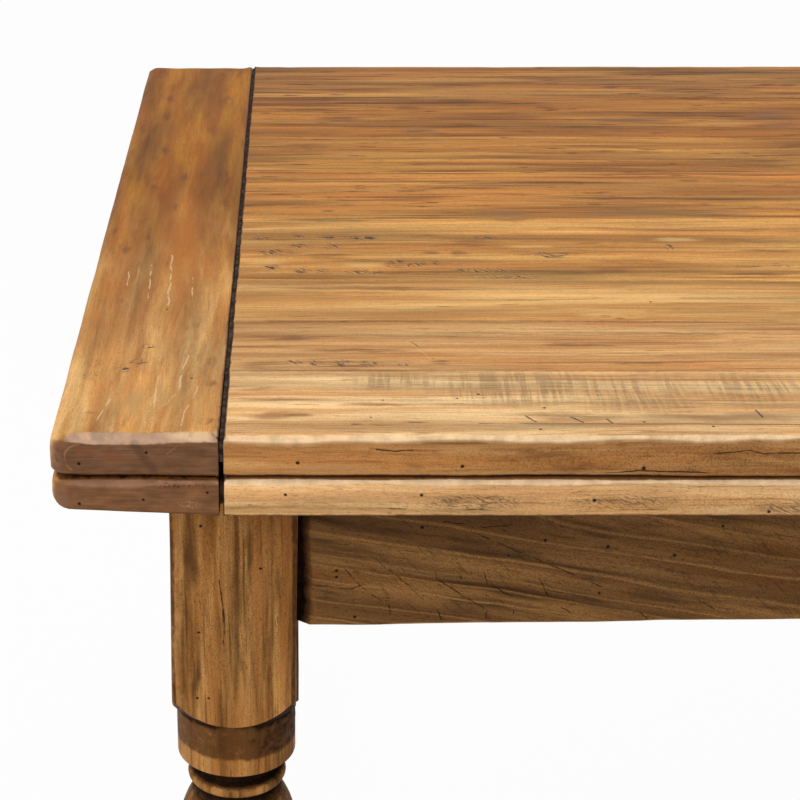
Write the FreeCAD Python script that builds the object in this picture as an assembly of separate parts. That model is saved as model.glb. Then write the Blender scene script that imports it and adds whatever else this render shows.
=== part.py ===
import FreeCAD, Part
import math
import os

# A draw-leaf tavern table: a plank top with breadboard ends lies loose on two pegs over a
# pair of pull-out leaves, which slide on lopers through a joined frame with turned legs.
# Millimetres, +X along the length, front at -Y, +Z up, origin on the floor under the centre.

# Overall sizes
TABLE_HEIGHT = 765.0
TOP_LENGTH = 1626.0
TOP_WIDTH = 950.0
TOP_THICKNESS = 30.0
LEAF_LENGTH = 500.0
LEAF_THICKNESS = 26.5
LEAF_TO_TOP_GAP = 2.0
LEAF_TO_FRAME_GAP = 1.0
LEAF_TO_CENTRE_GAP = 1.5

# Board widths from front to back, as shares of the width of the panel
TOP_BOARD_SHARES = (0.114, 0.100, 0.090, 0.160, 0.138, 0.116, 0.147, 0.135)
LEAF_BOARD_SHARES = (0.155, 0.135, 0.150, 0.128, 0.160, 0.132, 0.140)

# Breadboard ends, and the tongues that hold them
BREADBOARD_WIDTH = 111.0
SEAM_GAP = 2.2
TONGUE_LENGTH = 19.0
TONGUE_THICKNESS = 9.0
TONGUE_SETBACK = 7.0
GROOVE_CLEARANCE = 0.3
GROOVE_END_CLEARANCE = 1.5

# Worn edges of the slabs
TOP_CORNER_RADIUS = 11.5
TOP_UPPER_RADIUS = 6.0
TOP_LOWER_RADIUS = 3.5
LEAF_CORNER_RADIUS = 13.0
LEAF_UPPER_RADIUS = 5.0
LEAF_GRIP_RADIUS = 11.0
LEAF_LOWER_RADIUS = 2.0

# Pegs that locate the loose top in the centre boards
PEG_RADIUS = 10.0
PEG_TO_LOPER = 110.0
PEG_SOCKET_DEPTH = 14.0
PEG_TIP_DROP = 36.0
PEG_TIP_CHAMFER = 2.0
PEG_GLUE_CLEARANCE = 0.1
PEG_HOLE_CLEARANCE = 1.0

# Felt strips that carry the top
FELT_WIDTH = 24.0
FELT_LENGTH = 320.0
FELT_INSET = 86.0
FELT_TO_TOP_GAP = 0.2

# Legs: square blocks with turning between them
LEG_WIDTH = 89.0
LEG_END_OVERHANG = 73.0
LEG_SIDE_OVERHANG = 56.0
LEG_EDGE_CHAMFER = 4.0
UPPER_BLOCK_LENGTH = 175.0
LOWER_BLOCK_LENGTH = 95.0
FOOT_HEIGHT = 70.0

# Turned outlines from the top down: share of the stretch, share of half the leg's width,
# and the bulge of the run that ends there as a share of its chord (0 is a straight run)
OUTSIDE_SHARE = 1.5
TURNING_SHARES = (
    (0.000, 1.385, 0.00),
    (0.062, 0.985, 0.05),
    (0.176, 0.985, 0.00),
    (0.182, 0.90, 0.00),
    (0.208, 0.66, -0.16),
    (0.216, 0.66, 0.00),
    (0.220, 0.74, 0.00),
    (0.246, 0.74, 0.40),
    (0.252, 0.62, 0.00),
    (0.430, 0.93, 0.13),
    (0.620, 0.72, 0.10),
    (0.800, 0.52, -0.08),
    (0.806, 0.60, 0.00),
    (0.838, 0.60, 0.42),
    (0.846, 0.52, 0.00),
    (0.890, 0.66, -0.16),
    (0.896, 0.80, 0.00),
    (0.936, 0.80, 0.34),
    (0.944, 0.93, 0.00),
    (1.000, 1.43, 0.14),
)
FOOT_SHARES = (
    (0.00, 1.43, 0.00),
    (0.18, 0.93, 0.18),
    (0.22, 0.78, 0.00),
    (0.38, 0.62, -0.22),
    (0.42, 0.70, 0.00),
    (0.96, 0.72, 0.24),
    (1.00, 0.66, 0.00),
)

# Aprons between the legs
APRON_THICKNESS = 24.0
APRON_HEIGHT = 119.0
APRON_SETBACK = 10.0
APRON_BEVEL_LENGTH = 9.5
APRON_BEVEL_DEPTH = 7.5
APRON_TENON_LENGTH = 32.0
APRON_TENON_THICKNESS = 11.0
APRON_TENON_HEIGHT = 80.0
MORTISE_CLEARANCE = 0.2
MORTISE_END_CLEARANCE = 1.0

# H stretcher near the floor, and the pins through its tenons
STRETCHER_THICKNESS = 34.0
STRETCHER_HEIGHT = 58.0
STRETCHER_EDGE_RADIUS = 6.0
STRETCHER_TENON_LENGTH = 32.0
MIDDLE_TENON_LENGTH = 22.0
STRETCHER_TENON_THICKNESS = 13.0
STRETCHER_TENON_HEIGHT = 42.0
PIN_RADIUS = 5.0
PIN_PROUD = 1.5
PIN_TAIL = 7.5
PIN_CLEARANCE = 0.1
PIN_TENON_INSET = 15.0
MIDDLE_PIN_END_INSET = 9.0

# Lopers under the leaves, the rails that guide them, and their stops
LOPER_WIDTH = 34.0
LOPER_HEIGHT = 44.0
LOPER_OUTER_PROUD = 2.0
LOPER_HOLD = 56.0
LOPER_END_CLEARANCE = 3.0
LOPER_SIDE_CLEARANCE = 0.5
LOPER_BOTTOM_CLEARANCE = 0.3
LEFT_LOPER_INSET = 155.0
RIGHT_LOPER_INSET = 95.0
RAIL_THICKNESS = 24.0
RAIL_BOTTOM_INSET = 22.0
RAIL_INSET = 3.5
RAIL_HOUSING_DEPTH = 8.0
RAIL_HOUSING_CLEARANCE = 0.2
STOP_RADIUS = 6.0
STOP_PROUD = 9.0
STOP_CLEARANCE = 1.0
STOP_GLUE_CLEARANCE = 0.1

# Corner braces behind the legs
BRACE_THICKNESS = 28.0
BRACE_TO_LOPER_GAP = 15.0
BRACE_LEG_GAP = 0.5
BRACE_SEAT_CLEARANCE = 0.1
BRACE_BOTTOM_INSET = 3.0

# Countersunk wood screws
SCREW_SHANK_RADIUS = 2.5
SCREW_HEAD_RADIUS = 5.0
SCREW_HEAD_HEIGHT = 3.5
SCREW_CLEARANCE = 0.1
LOPER_SCREW_SEAT = 18.0
LOPER_SCREW_BITE = 12.0
LOPER_SCREW_SHARES = (0.15, 0.50, 0.85)
CENTRE_SCREW_BITE = 16.5
CENTRE_SCREW_INSET = 35.0
BRACE_SCREW_BITE = 16.0
BRACE_SCREW_INSET_SHARE = 0.5
BRACE_SCREW_SEAT_SHARE = 0.3

CUT_OVERRUN = 5.0

# Places that follow from the sizes
TOP_UNDERSIDE = TABLE_HEIGHT - TOP_THICKNESS
LEAF_TOP = TOP_UNDERSIDE - LEAF_TO_TOP_GAP
LEAF_UNDERSIDE = LEAF_TOP - LEAF_THICKNESS
FRAME_TOP = LEAF_UNDERSIDE - LEAF_TO_FRAME_GAP
APRON_BOTTOM = FRAME_TOP - APRON_HEIGHT
HALF_LENGTH = TOP_LENGTH / 2
HALF_WIDTH = TOP_WIDTH / 2
HALF_LEG = LEG_WIDTH / 2
LEG_X = HALF_LENGTH - LEG_END_OVERHANG - HALF_LEG
LEG_Y = HALF_WIDTH - LEG_SIDE_OVERHANG - HALF_LEG
LEAF_INNER_X = HALF_LENGTH - LEAF_LENGTH
CENTRE_HALF_LENGTH = LEAF_INNER_X - LEAF_TO_CENTRE_GAP
RAIL_OUTER_X = CENTRE_HALF_LENGTH - RAIL_INSET
RAIL_INNER_X = RAIL_OUTER_X - RAIL_THICKNESS
LOPER_BOTTOM = LEAF_UNDERSIDE - LOPER_HEIGHT
END_APRON_FACE_X = LEG_X + HALF_LEG - APRON_SETBACK
SIDE_APRON_FACE_Y = LEG_Y + HALF_LEG - APRON_SETBACK
END_APRON_INNER_X = END_APRON_FACE_X - APRON_THICKNESS
SIDE_APRON_INNER_Y = SIDE_APRON_FACE_Y - APRON_THICKNESS
LOPER_OUTER_X = END_APRON_FACE_X + LOPER_OUTER_PROUD
LOPER_INNER_X = RAIL_INNER_X - LEAF_LENGTH - LOPER_HOLD
UPPER_BLOCK_BOTTOM = FRAME_TOP - UPPER_BLOCK_LENGTH
LOWER_BLOCK_TOP = FOOT_HEIGHT + LOWER_BLOCK_LENGTH
LOWER_BLOCK_MIDDLE = FOOT_HEIGHT + LOWER_BLOCK_LENGTH / 2

UP = FreeCAD.Vector(0, 0, 1)
ORIGIN = FreeCAD.Vector(0, 0, 0)
SIDES = {"left": -1, "right": 1}
FACES = {"front": -1, "rear": 1}
LOPER_Y = {"left": SIDE_APRON_INNER_Y - LEFT_LOPER_INSET,
           "right": SIDE_APRON_INNER_Y - RIGHT_LOPER_INSET}

parts = {}


def box(x_range, y_range, z_range):
    """A block between two values on each axis, given in either order."""
    low = [min(r) for r in (x_range, y_range, z_range)]
    size = [abs(r[1] - r[0]) for r in (x_range, y_range, z_range)]
    return Part.makeBox(*size, FreeCAD.Vector(*low))


def centred(middle, size):
    """The range of a size about a middle value."""
    return (middle - size / 2, middle + size / 2)


def cylinder(radius, start, direction, length):
    return Part.makeCylinder(radius, length, start, direction)


def edges_where(shape, test):
    """The edges whose two ends both pass a test."""
    return [e for e in shape.Edges if all(test(v.Point) for v in e.Vertexes)]


def near(a, b):
    return abs(a - b) < Part.Precision.approximation()


def drill(names, cutter):
    """Takes the same cutter out of several pieces."""
    for name in names:
        parts[name] = parts[name].cut(cutter)


# Planks and breadboard ends

def board_spans(shares):
    """The front and back of each board across the width of the table."""
    spans = []
    front = -HALF_WIDTH
    for share in shares:
        spans.append((front, front + share * TOP_WIDTH))
        front += share * TOP_WIDTH
    return spans


def plank(x_range, y_range, z_range, radii):
    """One board, with its long upper and lower edges rounded where it is an outer one."""
    body = box(x_range, y_range, z_range)
    for y in y_range:
        if not near(abs(y), HALF_WIDTH):
            continue
        for z, radius in zip(z_range, radii):
            run = edges_where(body, lambda p: near(p.y, y) and near(p.z, z))
            body = body.makeFillet(radius, run)
    return body


def tongue(shoulder_x, sign, y_range, z_range):
    """The tongue on a board's end, stopped short of the outer edge of the panel."""
    limit = HALF_WIDTH - TONGUE_SETBACK
    span = [max(-limit, min(limit, y)) for y in y_range]
    middle = sum(z_range) / 2
    reach = (shoulder_x, shoulder_x + sign * TONGUE_LENGTH)
    return box(reach, span, centred(middle, TONGUE_THICKNESS))


def breadboard(sign, z_range, corner_radius, radii):
    """The cross piece at one end of a panel, grooved along its inner edge."""
    outer_x = sign * HALF_LENGTH
    inner_x = sign * (HALF_LENGTH - BREADBOARD_WIDTH)
    body = box((inner_x, outer_x), (-HALF_WIDTH, HALF_WIDTH), z_range)
    corners = edges_where(body, lambda p: near(p.x, outer_x))
    uprights = [e for e in corners if near(e.Vertexes[0].Y, e.Vertexes[1].Y)]
    body = body.makeFillet(corner_radius, uprights)
    for z, radius in zip(z_range, radii):
        rim = [e for e in edges_where(body, lambda p: near(p.z, z))
               if not near(e.CenterOfMass.x, inner_x)]
        body = body.makeFillet(radius, rim)
    limit = HALF_WIDTH - TONGUE_SETBACK + GROOVE_CLEARANCE
    depth = TONGUE_LENGTH - SEAM_GAP + GROOVE_END_CLEARANCE
    height = TONGUE_THICKNESS + GROOVE_CLEARANCE
    groove = box((inner_x - sign * CUT_OVERRUN, inner_x + sign * depth),
                 (-limit, limit), centred(sum(z_range) / 2, height))
    return body.cut(groove)


def make_top():
    """Eight planks between two breadboard ends, and the pegs under them."""
    z_range = (TOP_UNDERSIDE, TABLE_HEIGHT)
    radii = (TOP_LOWER_RADIUS, TOP_UPPER_RADIUS)
    shoulder_x = HALF_LENGTH - BREADBOARD_WIDTH - SEAM_GAP
    for number, span in enumerate(board_spans(TOP_BOARD_SHARES), 1):
        body = plank((-shoulder_x, shoulder_x), span, z_range, radii)
        for sign in SIDES.values():
            body = body.fuse(tongue(sign * shoulder_x, sign, span, z_range))
        parts[f"top_board_{number}"] = body.removeSplitter()
    for side, sign in SIDES.items():
        name = f"top_{side}_breadboard"
        parts[name] = breadboard(sign, z_range, TOP_CORNER_RADIUS, radii)
    make_guide_pegs()


def peg_places():
    return [FreeCAD.Vector(0, sign * (LOPER_Y["left"] - PEG_TO_LOPER), 0)
            for sign in FACES.values()]


def make_guide_pegs():
    """Two pegs glued into the underside of the top, with eased tips."""
    tip = LEAF_UNDERSIDE - PEG_TIP_DROP
    head = TOP_UNDERSIDE + PEG_SOCKET_DEPTH
    pegs = []
    for place in peg_places():
        start = place + UP * tip
        peg = cylinder(PEG_RADIUS, start, UP, head - tip)
        rim = edges_where(peg, lambda p: near(p.z, tip))
        pegs.append(peg.makeChamfer(PEG_TIP_CHAMFER, [e for e in rim if e.Closed]))
        socket = cylinder(PEG_RADIUS + PEG_GLUE_CLEARANCE, start, UP, head - tip)
        drill([n for n in parts if n.startswith("top_board")], socket)
    parts["top_guide_pegs"] = Part.makeCompound(pegs)


def make_leaf(side, sign):
    """A pull-out leaf: planks, one breadboard end, two lopers, screws and stops."""
    z_range = (LEAF_UNDERSIDE, LEAF_TOP)
    shoulder_x = sign * (HALF_LENGTH - BREADBOARD_WIDTH - SEAM_GAP)
    inner_x = sign * LEAF_INNER_X
    for number, span in enumerate(board_spans(LEAF_BOARD_SHARES), 1):
        body = plank((inner_x, shoulder_x), span, z_range,
                     (LEAF_LOWER_RADIUS, LEAF_UPPER_RADIUS))
        body = body.fuse(tongue(shoulder_x, sign, span, z_range))
        parts[f"{side}_leaf_board_{number}"] = body.removeSplitter()
    parts[f"{side}_leaf_breadboard"] = breadboard(
        sign, z_range, LEAF_CORNER_RADIUS, (LEAF_GRIP_RADIUS, LEAF_UPPER_RADIUS))
    make_lopers(side, sign)


def make_lopers(side, sign):
    """The two bearers of a leaf, with their stop pegs and fixing screws."""
    x_range = (sign * LOPER_OUTER_X, sign * LOPER_INNER_X)
    stop_x = sign * (RAIL_INNER_X - LEAF_LENGTH - STOP_RADIUS - STOP_CLEARANCE)
    stops = []
    screws = []
    for face, face_sign in FACES.items():
        y = face_sign * LOPER_Y[side]
        name = f"{side}_leaf_{face}_loper"
        parts[name] = box(x_range, centred(y, LOPER_WIDTH), (LOPER_BOTTOM, LEAF_UNDERSIDE))
        stops.append(make_stop(name, stop_x, y))
        screws += loper_screws(side, sign, name, y)
    parts[f"{side}_leaf_stop_pegs"] = Part.makeCompound(stops)
    parts[f"{side}_leaf_screws"] = Part.makeCompound(screws)


def make_stop(loper, x, y):
    """A peg through a loper that meets the guide rail when the leaf is fully out."""
    length = LOPER_WIDTH + 2 * STOP_PROUD
    start = FreeCAD.Vector(x, y - length / 2, LOPER_BOTTOM + LOPER_HEIGHT / 2)
    along = FreeCAD.Vector(0, 1, 0)
    drill([loper], cylinder(STOP_RADIUS + STOP_GLUE_CLEARANCE, start, along, length))
    return cylinder(STOP_RADIUS, start, along, length)


def screw(head, direction, length, growth=0.0):
    """A countersunk screw from its head's flat face, or its hole when grown."""
    cone = Part.makeCone(SCREW_HEAD_RADIUS + growth, SCREW_SHANK_RADIUS + growth,
                         SCREW_HEAD_HEIGHT, head, direction)
    shank = cylinder(SCREW_SHANK_RADIUS + growth, head, direction, length + growth)
    return cone.fuse(shank)


def loper_screws(side, sign, loper, y):
    """Screws driven up through a loper, in deep holes, into the boards of its leaf."""
    planks = [n for n in parts if n.startswith(f"{side}_leaf_board")]
    length = LOPER_SCREW_SEAT + LOPER_SCREW_BITE
    made = []
    for share in LOPER_SCREW_SHARES:
        x = sign * (LEAF_INNER_X + share * (LOPER_OUTER_X - LEAF_INNER_X))
        head = FreeCAD.Vector(x, y, LEAF_UNDERSIDE - LOPER_SCREW_SEAT)
        drill([loper], cylinder(SCREW_HEAD_RADIUS + SCREW_CLEARANCE, head, UP * -1, LOPER_HEIGHT))
        drill([loper] + planks, screw(head, UP, length, SCREW_CLEARANCE))
        made.append(screw(head, UP, length))
    return made


# The joined frame

def turned_runs(top_z, length, shares):
    """The edges of a turned outline, from its top down, and its last point."""
    runs = []
    last = None
    for z_share, r_share, bulge_share in shares:
        here = FreeCAD.Vector(r_share * HALF_LEG, 0, top_z - z_share * length)
        if last is not None:
            chord = here - last
            if bulge_share:
                outward = FreeCAD.Vector(-chord.z, 0, chord.x)
                middle = (last + here) * 0.5 + outward * bulge_share
                runs.append(Part.Arc(last, middle, here).toShape())
            else:
                runs.append(Part.makeLine(last, here))
        last = here
    return runs, last


def leg_blank():
    """A leg on its own axis: a square length turned between its blocks and at its foot."""
    outside = OUTSIDE_SHARE * HALF_LEG
    shaft, shaft_end = turned_runs(UPPER_BLOCK_BOTTOM, UPPER_BLOCK_BOTTOM - LOWER_BLOCK_TOP,
                                   TURNING_SHARES)
    foot, foot_end = turned_runs(FOOT_HEIGHT, FOOT_HEIGHT, FOOT_SHARES)
    corners = [
        [UP * FRAME_TOP, FreeCAD.Vector(outside, 0, FRAME_TOP),
         FreeCAD.Vector(outside, 0, UPPER_BLOCK_BOTTOM), shaft[0].Vertexes[0].Point],
        [shaft_end, FreeCAD.Vector(outside, 0, LOWER_BLOCK_TOP),
         FreeCAD.Vector(outside, 0, FOOT_HEIGHT), foot[0].Vertexes[0].Point],
        [foot_end, ORIGIN, UP * FRAME_TOP],
    ]
    straight = [[Part.makeLine(a, b) for a, b in zip(c, c[1:])] for c in corners]
    outline = Part.Wire(straight[0] + shaft + straight[1] + foot + straight[2])
    turned = Part.Face(outline).revolve(ORIGIN, UP, 360)
    square = box(centred(0, LEG_WIDTH), centred(0, LEG_WIDTH), (0, FRAME_TOP))
    corners = [e for e in square.Edges if near(e.Length, FRAME_TOP)]
    return square.makeChamfer(LEG_EDGE_CHAMFER, corners).common(turned)


def rail_with_tenons(half_span, y_range, z_range, bevelled, tenon):
    """A rail along X between two legs, with a centred tenon on each end.

    Its face at the second y value has bevelled ends where that is asked for.
    """
    length, thickness, height = tenon
    inner_y, face_y = y_range
    outline = [(-half_span, inner_y), (half_span, inner_y)]
    if bevelled:
        into = APRON_BEVEL_DEPTH * (1 if inner_y > face_y else -1)
        ends = half_span - APRON_BEVEL_LENGTH
        outline += [(half_span, face_y + into), (ends, face_y)]
        outline += [(-ends, face_y), (-half_span, face_y + into)]
    else:
        outline += [(half_span, face_y), (-half_span, face_y)]
    points = [FreeCAD.Vector(x, y, z_range[0]) for x, y in outline]
    face = Part.Face(Part.makePolygon(points + points[:1]))
    body = face.extrude(UP * (z_range[1] - z_range[0]))
    reach = half_span + length
    bar = box((-reach, reach), centred(sum(y_range) / 2, thickness),
              centred(sum(z_range) / 2, height))
    return body.fuse(bar).removeSplitter()


def turned_about_z(shape, quarter_turns):
    copy = shape.copy()
    copy.rotate(ORIGIN, UP, 90 * quarter_turns)
    return copy


def mortise(tenon, half_span, y_middle, z_middle):
    """The hole in both legs for the tenons of one rail along X."""
    length, thickness, height = tenon
    reach = half_span + length + MORTISE_END_CLEARANCE
    return box((-reach, reach), centred(y_middle, thickness + 2 * MORTISE_CLEARANCE),
               centred(z_middle, height + 2 * MORTISE_CLEARANCE))


def make_legs():
    blank = leg_blank()
    for face, y_sign in FACES.items():
        for side, x_sign in SIDES.items():
            leg = blank.copy()
            leg.translate(FreeCAD.Vector(x_sign * LEG_X, y_sign * LEG_Y, 0))
            parts[f"{face}_{side}_leg"] = leg


def make_rails(kind, places, z_range, tenon, bevelled, insets):
    """Rails of one kind on some sides of the frame, tenoned into the legs."""
    z_middle = sum(z_range) / 2
    spans = {"front": (LEG_X, LEG_Y, 0), "right": (LEG_Y, LEG_X, 1),
             "rear": (LEG_X, LEG_Y, 2), "left": (LEG_Y, LEG_X, 3)}
    for place in places:
        along, across, quarter_turns = spans[place]
        half_span = along - HALF_LEG
        face_y = -(across + HALF_LEG - insets[0])
        y_range = (face_y + insets[1], face_y)
        rail = rail_with_tenons(half_span, y_range, z_range, bevelled, tenon)
        hole = mortise(tenon, half_span, sum(y_range) / 2, z_middle)
        parts[kind.format(place)] = turned_about_z(rail, quarter_turns)
        drill([n for n in parts if n.endswith("_leg")], turned_about_z(hole, quarter_turns))


def make_aprons():
    """Aprons under the leaves. The end ones are notched for the lopers."""
    tenon = (APRON_TENON_LENGTH, APRON_TENON_THICKNESS, APRON_TENON_HEIGHT)
    make_rails("{}_apron", [*FACES, *SIDES], (APRON_BOTTOM, FRAME_TOP), tenon, True,
               (APRON_SETBACK, APRON_THICKNESS))
    for side in SIDES:
        for notch in loper_notches(side):
            drill([f"{side}_apron"], notch)


def loper_notches(side, room=0.0):
    """Open-topped passages for the two lopers of a leaf, with room beside them if asked."""
    sign = SIDES[side]
    width = LOPER_WIDTH + 2 * (LOPER_SIDE_CLEARANCE + room)
    x_range = (sign * (LOPER_OUTER_X + CUT_OVERRUN),
               sign * (LOPER_INNER_X - LOPER_END_CLEARANCE))
    z_range = (LOPER_BOTTOM - LOPER_BOTTOM_CLEARANCE, LEAF_UNDERSIDE + CUT_OVERRUN)
    return [box(x_range, centred(s * LOPER_Y[side], width), z_range) for s in FACES.values()]


def make_guide_rails():
    """Cross rails housed in the side aprons, notched for the lopers of their own leaf.

    Where the other leaf's lopers reach this far, their stops pass through as well.
    """
    reach = SIDE_APRON_INNER_Y + RAIL_HOUSING_DEPTH
    z_range = (APRON_BOTTOM + RAIL_BOTTOM_INSET, LEAF_UNDERSIDE)
    others = {"left": "right", "right": "left"}
    for side, sign in SIDES.items():
        name = f"{side}_guide_rail"
        x_range = (sign * RAIL_INNER_X, sign * RAIL_OUTER_X)
        rail = box(x_range, (-reach, reach), z_range)
        over = box(x_range, (-reach, reach), (FRAME_TOP, LEAF_UNDERSIDE + CUT_OVERRUN))
        inside = box(x_range, centred(0, 2 * SIDE_APRON_INNER_Y),
                     (FRAME_TOP, LEAF_UNDERSIDE + CUT_OVERRUN))
        parts[name] = rail.cut(over.cut(inside))
        for notch in loper_notches(side) + loper_notches(others[side], STOP_PROUD):
            drill([name], notch)
        slack = RAIL_HOUSING_CLEARANCE
        housing = box(centred(sum(x_range) / 2, RAIL_THICKNESS + 2 * slack),
                      (-reach - slack, reach + slack),
                      (z_range[0] - slack, FRAME_TOP + CUT_OVERRUN))
        drill(["front_apron", "rear_apron"], housing)


def make_centre():
    """The fixed boards between the leaves, their screws, and the felts on them."""
    planks = [plank((-CENTRE_HALF_LENGTH, CENTRE_HALF_LENGTH), span,
                    (LEAF_UNDERSIDE, LEAF_TOP), (LEAF_LOWER_RADIUS, LEAF_UPPER_RADIUS))
              for span in board_spans(LEAF_BOARD_SHARES)]
    parts["centre_boards"] = Part.makeCompound(planks)
    for place in peg_places():
        start = place + UP * (LEAF_UNDERSIDE - CUT_OVERRUN)
        hole = cylinder(PEG_RADIUS + PEG_HOLE_CLEARANCE, start, UP,
                        LEAF_THICKNESS + 2 * CUT_OVERRUN)
        drill(["centre_boards"], hole)
    make_centre_screws()
    z_range = (LEAF_TOP, TOP_UNDERSIDE - FELT_TO_TOP_GAP)
    outer = CENTRE_HALF_LENGTH - FELT_INSET
    felts = [box((s * outer, s * (outer - FELT_WIDTH)), centred(0, FELT_LENGTH), z_range)
             for s in SIDES.values()]
    parts["centre_felts"] = Part.makeCompound(felts)


def make_centre_screws():
    screws = []
    down = UP * -1
    length = LEAF_THICKNESS + CENTRE_SCREW_BITE
    y = SIDE_APRON_INNER_Y - CENTRE_SCREW_INSET
    for side, sign in SIDES.items():
        x = sign * (RAIL_INNER_X + RAIL_OUTER_X) / 2
        for face_sign in FACES.values():
            head = FreeCAD.Vector(x, face_sign * y, LEAF_TOP)
            hole = screw(head, down, length, SCREW_CLEARANCE)
            drill(["centre_boards", f"{side}_guide_rail"], hole)
            screws.append(screw(head, down, length))
    parts["centre_screws"] = Part.makeCompound(screws)


def make_braces():
    """Diagonal blocks screwed across the inside corners, just behind the legs."""
    z_low = APRON_BOTTOM + BRACE_BOTTOM_INSET
    height = LOPER_BOTTOM - BRACE_TO_LOPER_GAP - z_low
    seat_x = END_APRON_INNER_X - BRACE_SEAT_CLEARANCE
    seat_y = SIDE_APRON_INNER_Y - BRACE_SEAT_CLEARANCE
    near_sum = LEG_X - HALF_LEG + LEG_Y - HALF_LEG - BRACE_LEG_GAP * math.sqrt(2)
    far_sum = near_sum - BRACE_THICKNESS * math.sqrt(2)
    outline = [(seat_x, near_sum - seat_x), (near_sum - seat_y, seat_y),
               (far_sum - seat_y, seat_y), (seat_x, far_sum - seat_x)]
    middle_z = z_low + height / 2
    screws = []
    for face, y_sign in FACES.items():
        for side, x_sign in SIDES.items():
            name = f"{face}_{side}_brace"
            points = [FreeCAD.Vector(x_sign * x, y_sign * y, z_low) for x, y in outline]
            face_below = Part.Face(Part.makePolygon(points + points[:1]))
            parts[name] = face_below.extrude(UP * height)
            aprons = [f"{face}_apron", f"{side}_apron"]
            ways = [FreeCAD.Vector(0, y_sign, 0), FreeCAD.Vector(x_sign, 0, 0)]
            for apron, way in zip(aprons, ways):
                screws.append(brace_screw(name, apron, way, x_sign, y_sign, far_sum, middle_z))
    parts["brace_screws"] = Part.makeCompound(screws)


def brace_screw(brace, apron, way, x_sign, y_sign, far_sum, z):
    """A screw square to an apron, its head sunk in the brace's long inner face."""
    width = BRACE_THICKNESS * math.sqrt(2)
    inset = BRACE_SCREW_INSET_SHARE * width
    seat = BRACE_SCREW_SEAT_SHARE * width
    length = seat + BRACE_SCREW_BITE
    if way.x:
        place = (END_APRON_INNER_X - seat, far_sum - END_APRON_INNER_X + inset)
    else:
        place = (far_sum - SIDE_APRON_INNER_Y + inset, SIDE_APRON_INNER_Y - seat)
    head = FreeCAD.Vector(x_sign * place[0], y_sign * place[1], z)
    drill([brace], cylinder(SCREW_HEAD_RADIUS + SCREW_CLEARANCE, head, way * -1, width))
    drill([brace, apron], screw(head, way, length, SCREW_CLEARANCE))
    return screw(head, way, length)


def make_stretchers():
    """Two low end rails and a middle rail between them, with eased upper edges."""
    section = (STRETCHER_TENON_THICKNESS, STRETCHER_TENON_HEIGHT)
    inset = (LEG_WIDTH - STRETCHER_THICKNESS) / 2
    z_range = centred(LOWER_BLOCK_MIDDLE, STRETCHER_HEIGHT)
    make_rails("{}_stretcher", SIDES, z_range, (STRETCHER_TENON_LENGTH, *section), False,
               (inset, STRETCHER_THICKNESS))
    half_span = LEG_X - STRETCHER_THICKNESS / 2
    tenon = (MIDDLE_TENON_LENGTH, *section)
    y_range = centred(0, STRETCHER_THICKNESS)
    middle = rail_with_tenons(half_span, y_range, z_range, False, tenon)
    parts["middle_stretcher"] = middle
    drill(["left_stretcher", "right_stretcher"],
          mortise(tenon, half_span, 0, LOWER_BLOCK_MIDDLE))
    for place in ("left", "right", "middle"):
        name = f"{place}_stretcher"
        long_edges = [e for e in edges_where(parts[name], lambda p: near(p.z, z_range[1]))
                      if e.Length > LEG_WIDTH]
        parts[name] = parts[name].makeFillet(STRETCHER_EDGE_RADIUS, long_edges)
    make_pins(half_span + tenon[0] / 2, z_range)


def make_pins(middle_tenon_x, z_range):
    """Wooden pins driven through the lower blocks and the tenons of the stretchers."""
    length = PIN_PROUD + (LEG_WIDTH + STRETCHER_TENON_THICKNESS) / 2 + PIN_TAIL
    outer_x = LEG_X + HALF_LEG + PIN_PROUD
    inward_y = LEG_Y - HALF_LEG + PIN_TENON_INSET
    drives = []
    for side, x_sign in SIDES.items():
        for face, y_sign in FACES.items():
            start = FreeCAD.Vector(x_sign * outer_x, y_sign * inward_y, LOWER_BLOCK_MIDDLE)
            way = FreeCAD.Vector(-x_sign, 0, 0)
            drives.append(([f"{face}_{side}_leg", f"{side}_stretcher"], start, way, length))
        below = FreeCAD.Vector(x_sign * middle_tenon_x, 0, z_range[0])
        rise = STRETCHER_HEIGHT - MIDDLE_PIN_END_INSET
        drives.append(([f"{side}_stretcher", "middle_stretcher"], below, UP, rise))
    pins = []
    for names, start, way, reach in drives:
        drill(names, cylinder(PIN_RADIUS + PIN_CLEARANCE, start, way, reach))
        pins.append(cylinder(PIN_RADIUS, start, way, reach))
    parts["stretcher_pins"] = Part.makeCompound(pins)


def main():
    make_top()
    for side, sign in SIDES.items():
        make_leaf(side, sign)
    make_legs()
    make_aprons()
    make_guide_rails()
    make_centre()
    make_braces()
    make_stretchers()
    os.makedirs("parts", exist_ok=True)
    for name, shape in parts.items():
        shape.exportStep(f"parts/{name}.step")
    print(len(parts), "nodes,", sum(len(s.Solids) for s in parts.values()), "solids")


main()
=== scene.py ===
# %% [markdown]
# # A draw-leaf tavern table in worn pine
# The table is a loose plank top over two pull-out leaves, on a joined frame with turned legs.
# The packed CAD model is the frame that everything here hangs on: it gives every place and size,
# and each board is rebuilt over its own solid with worn edges and real wood grain.

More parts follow.
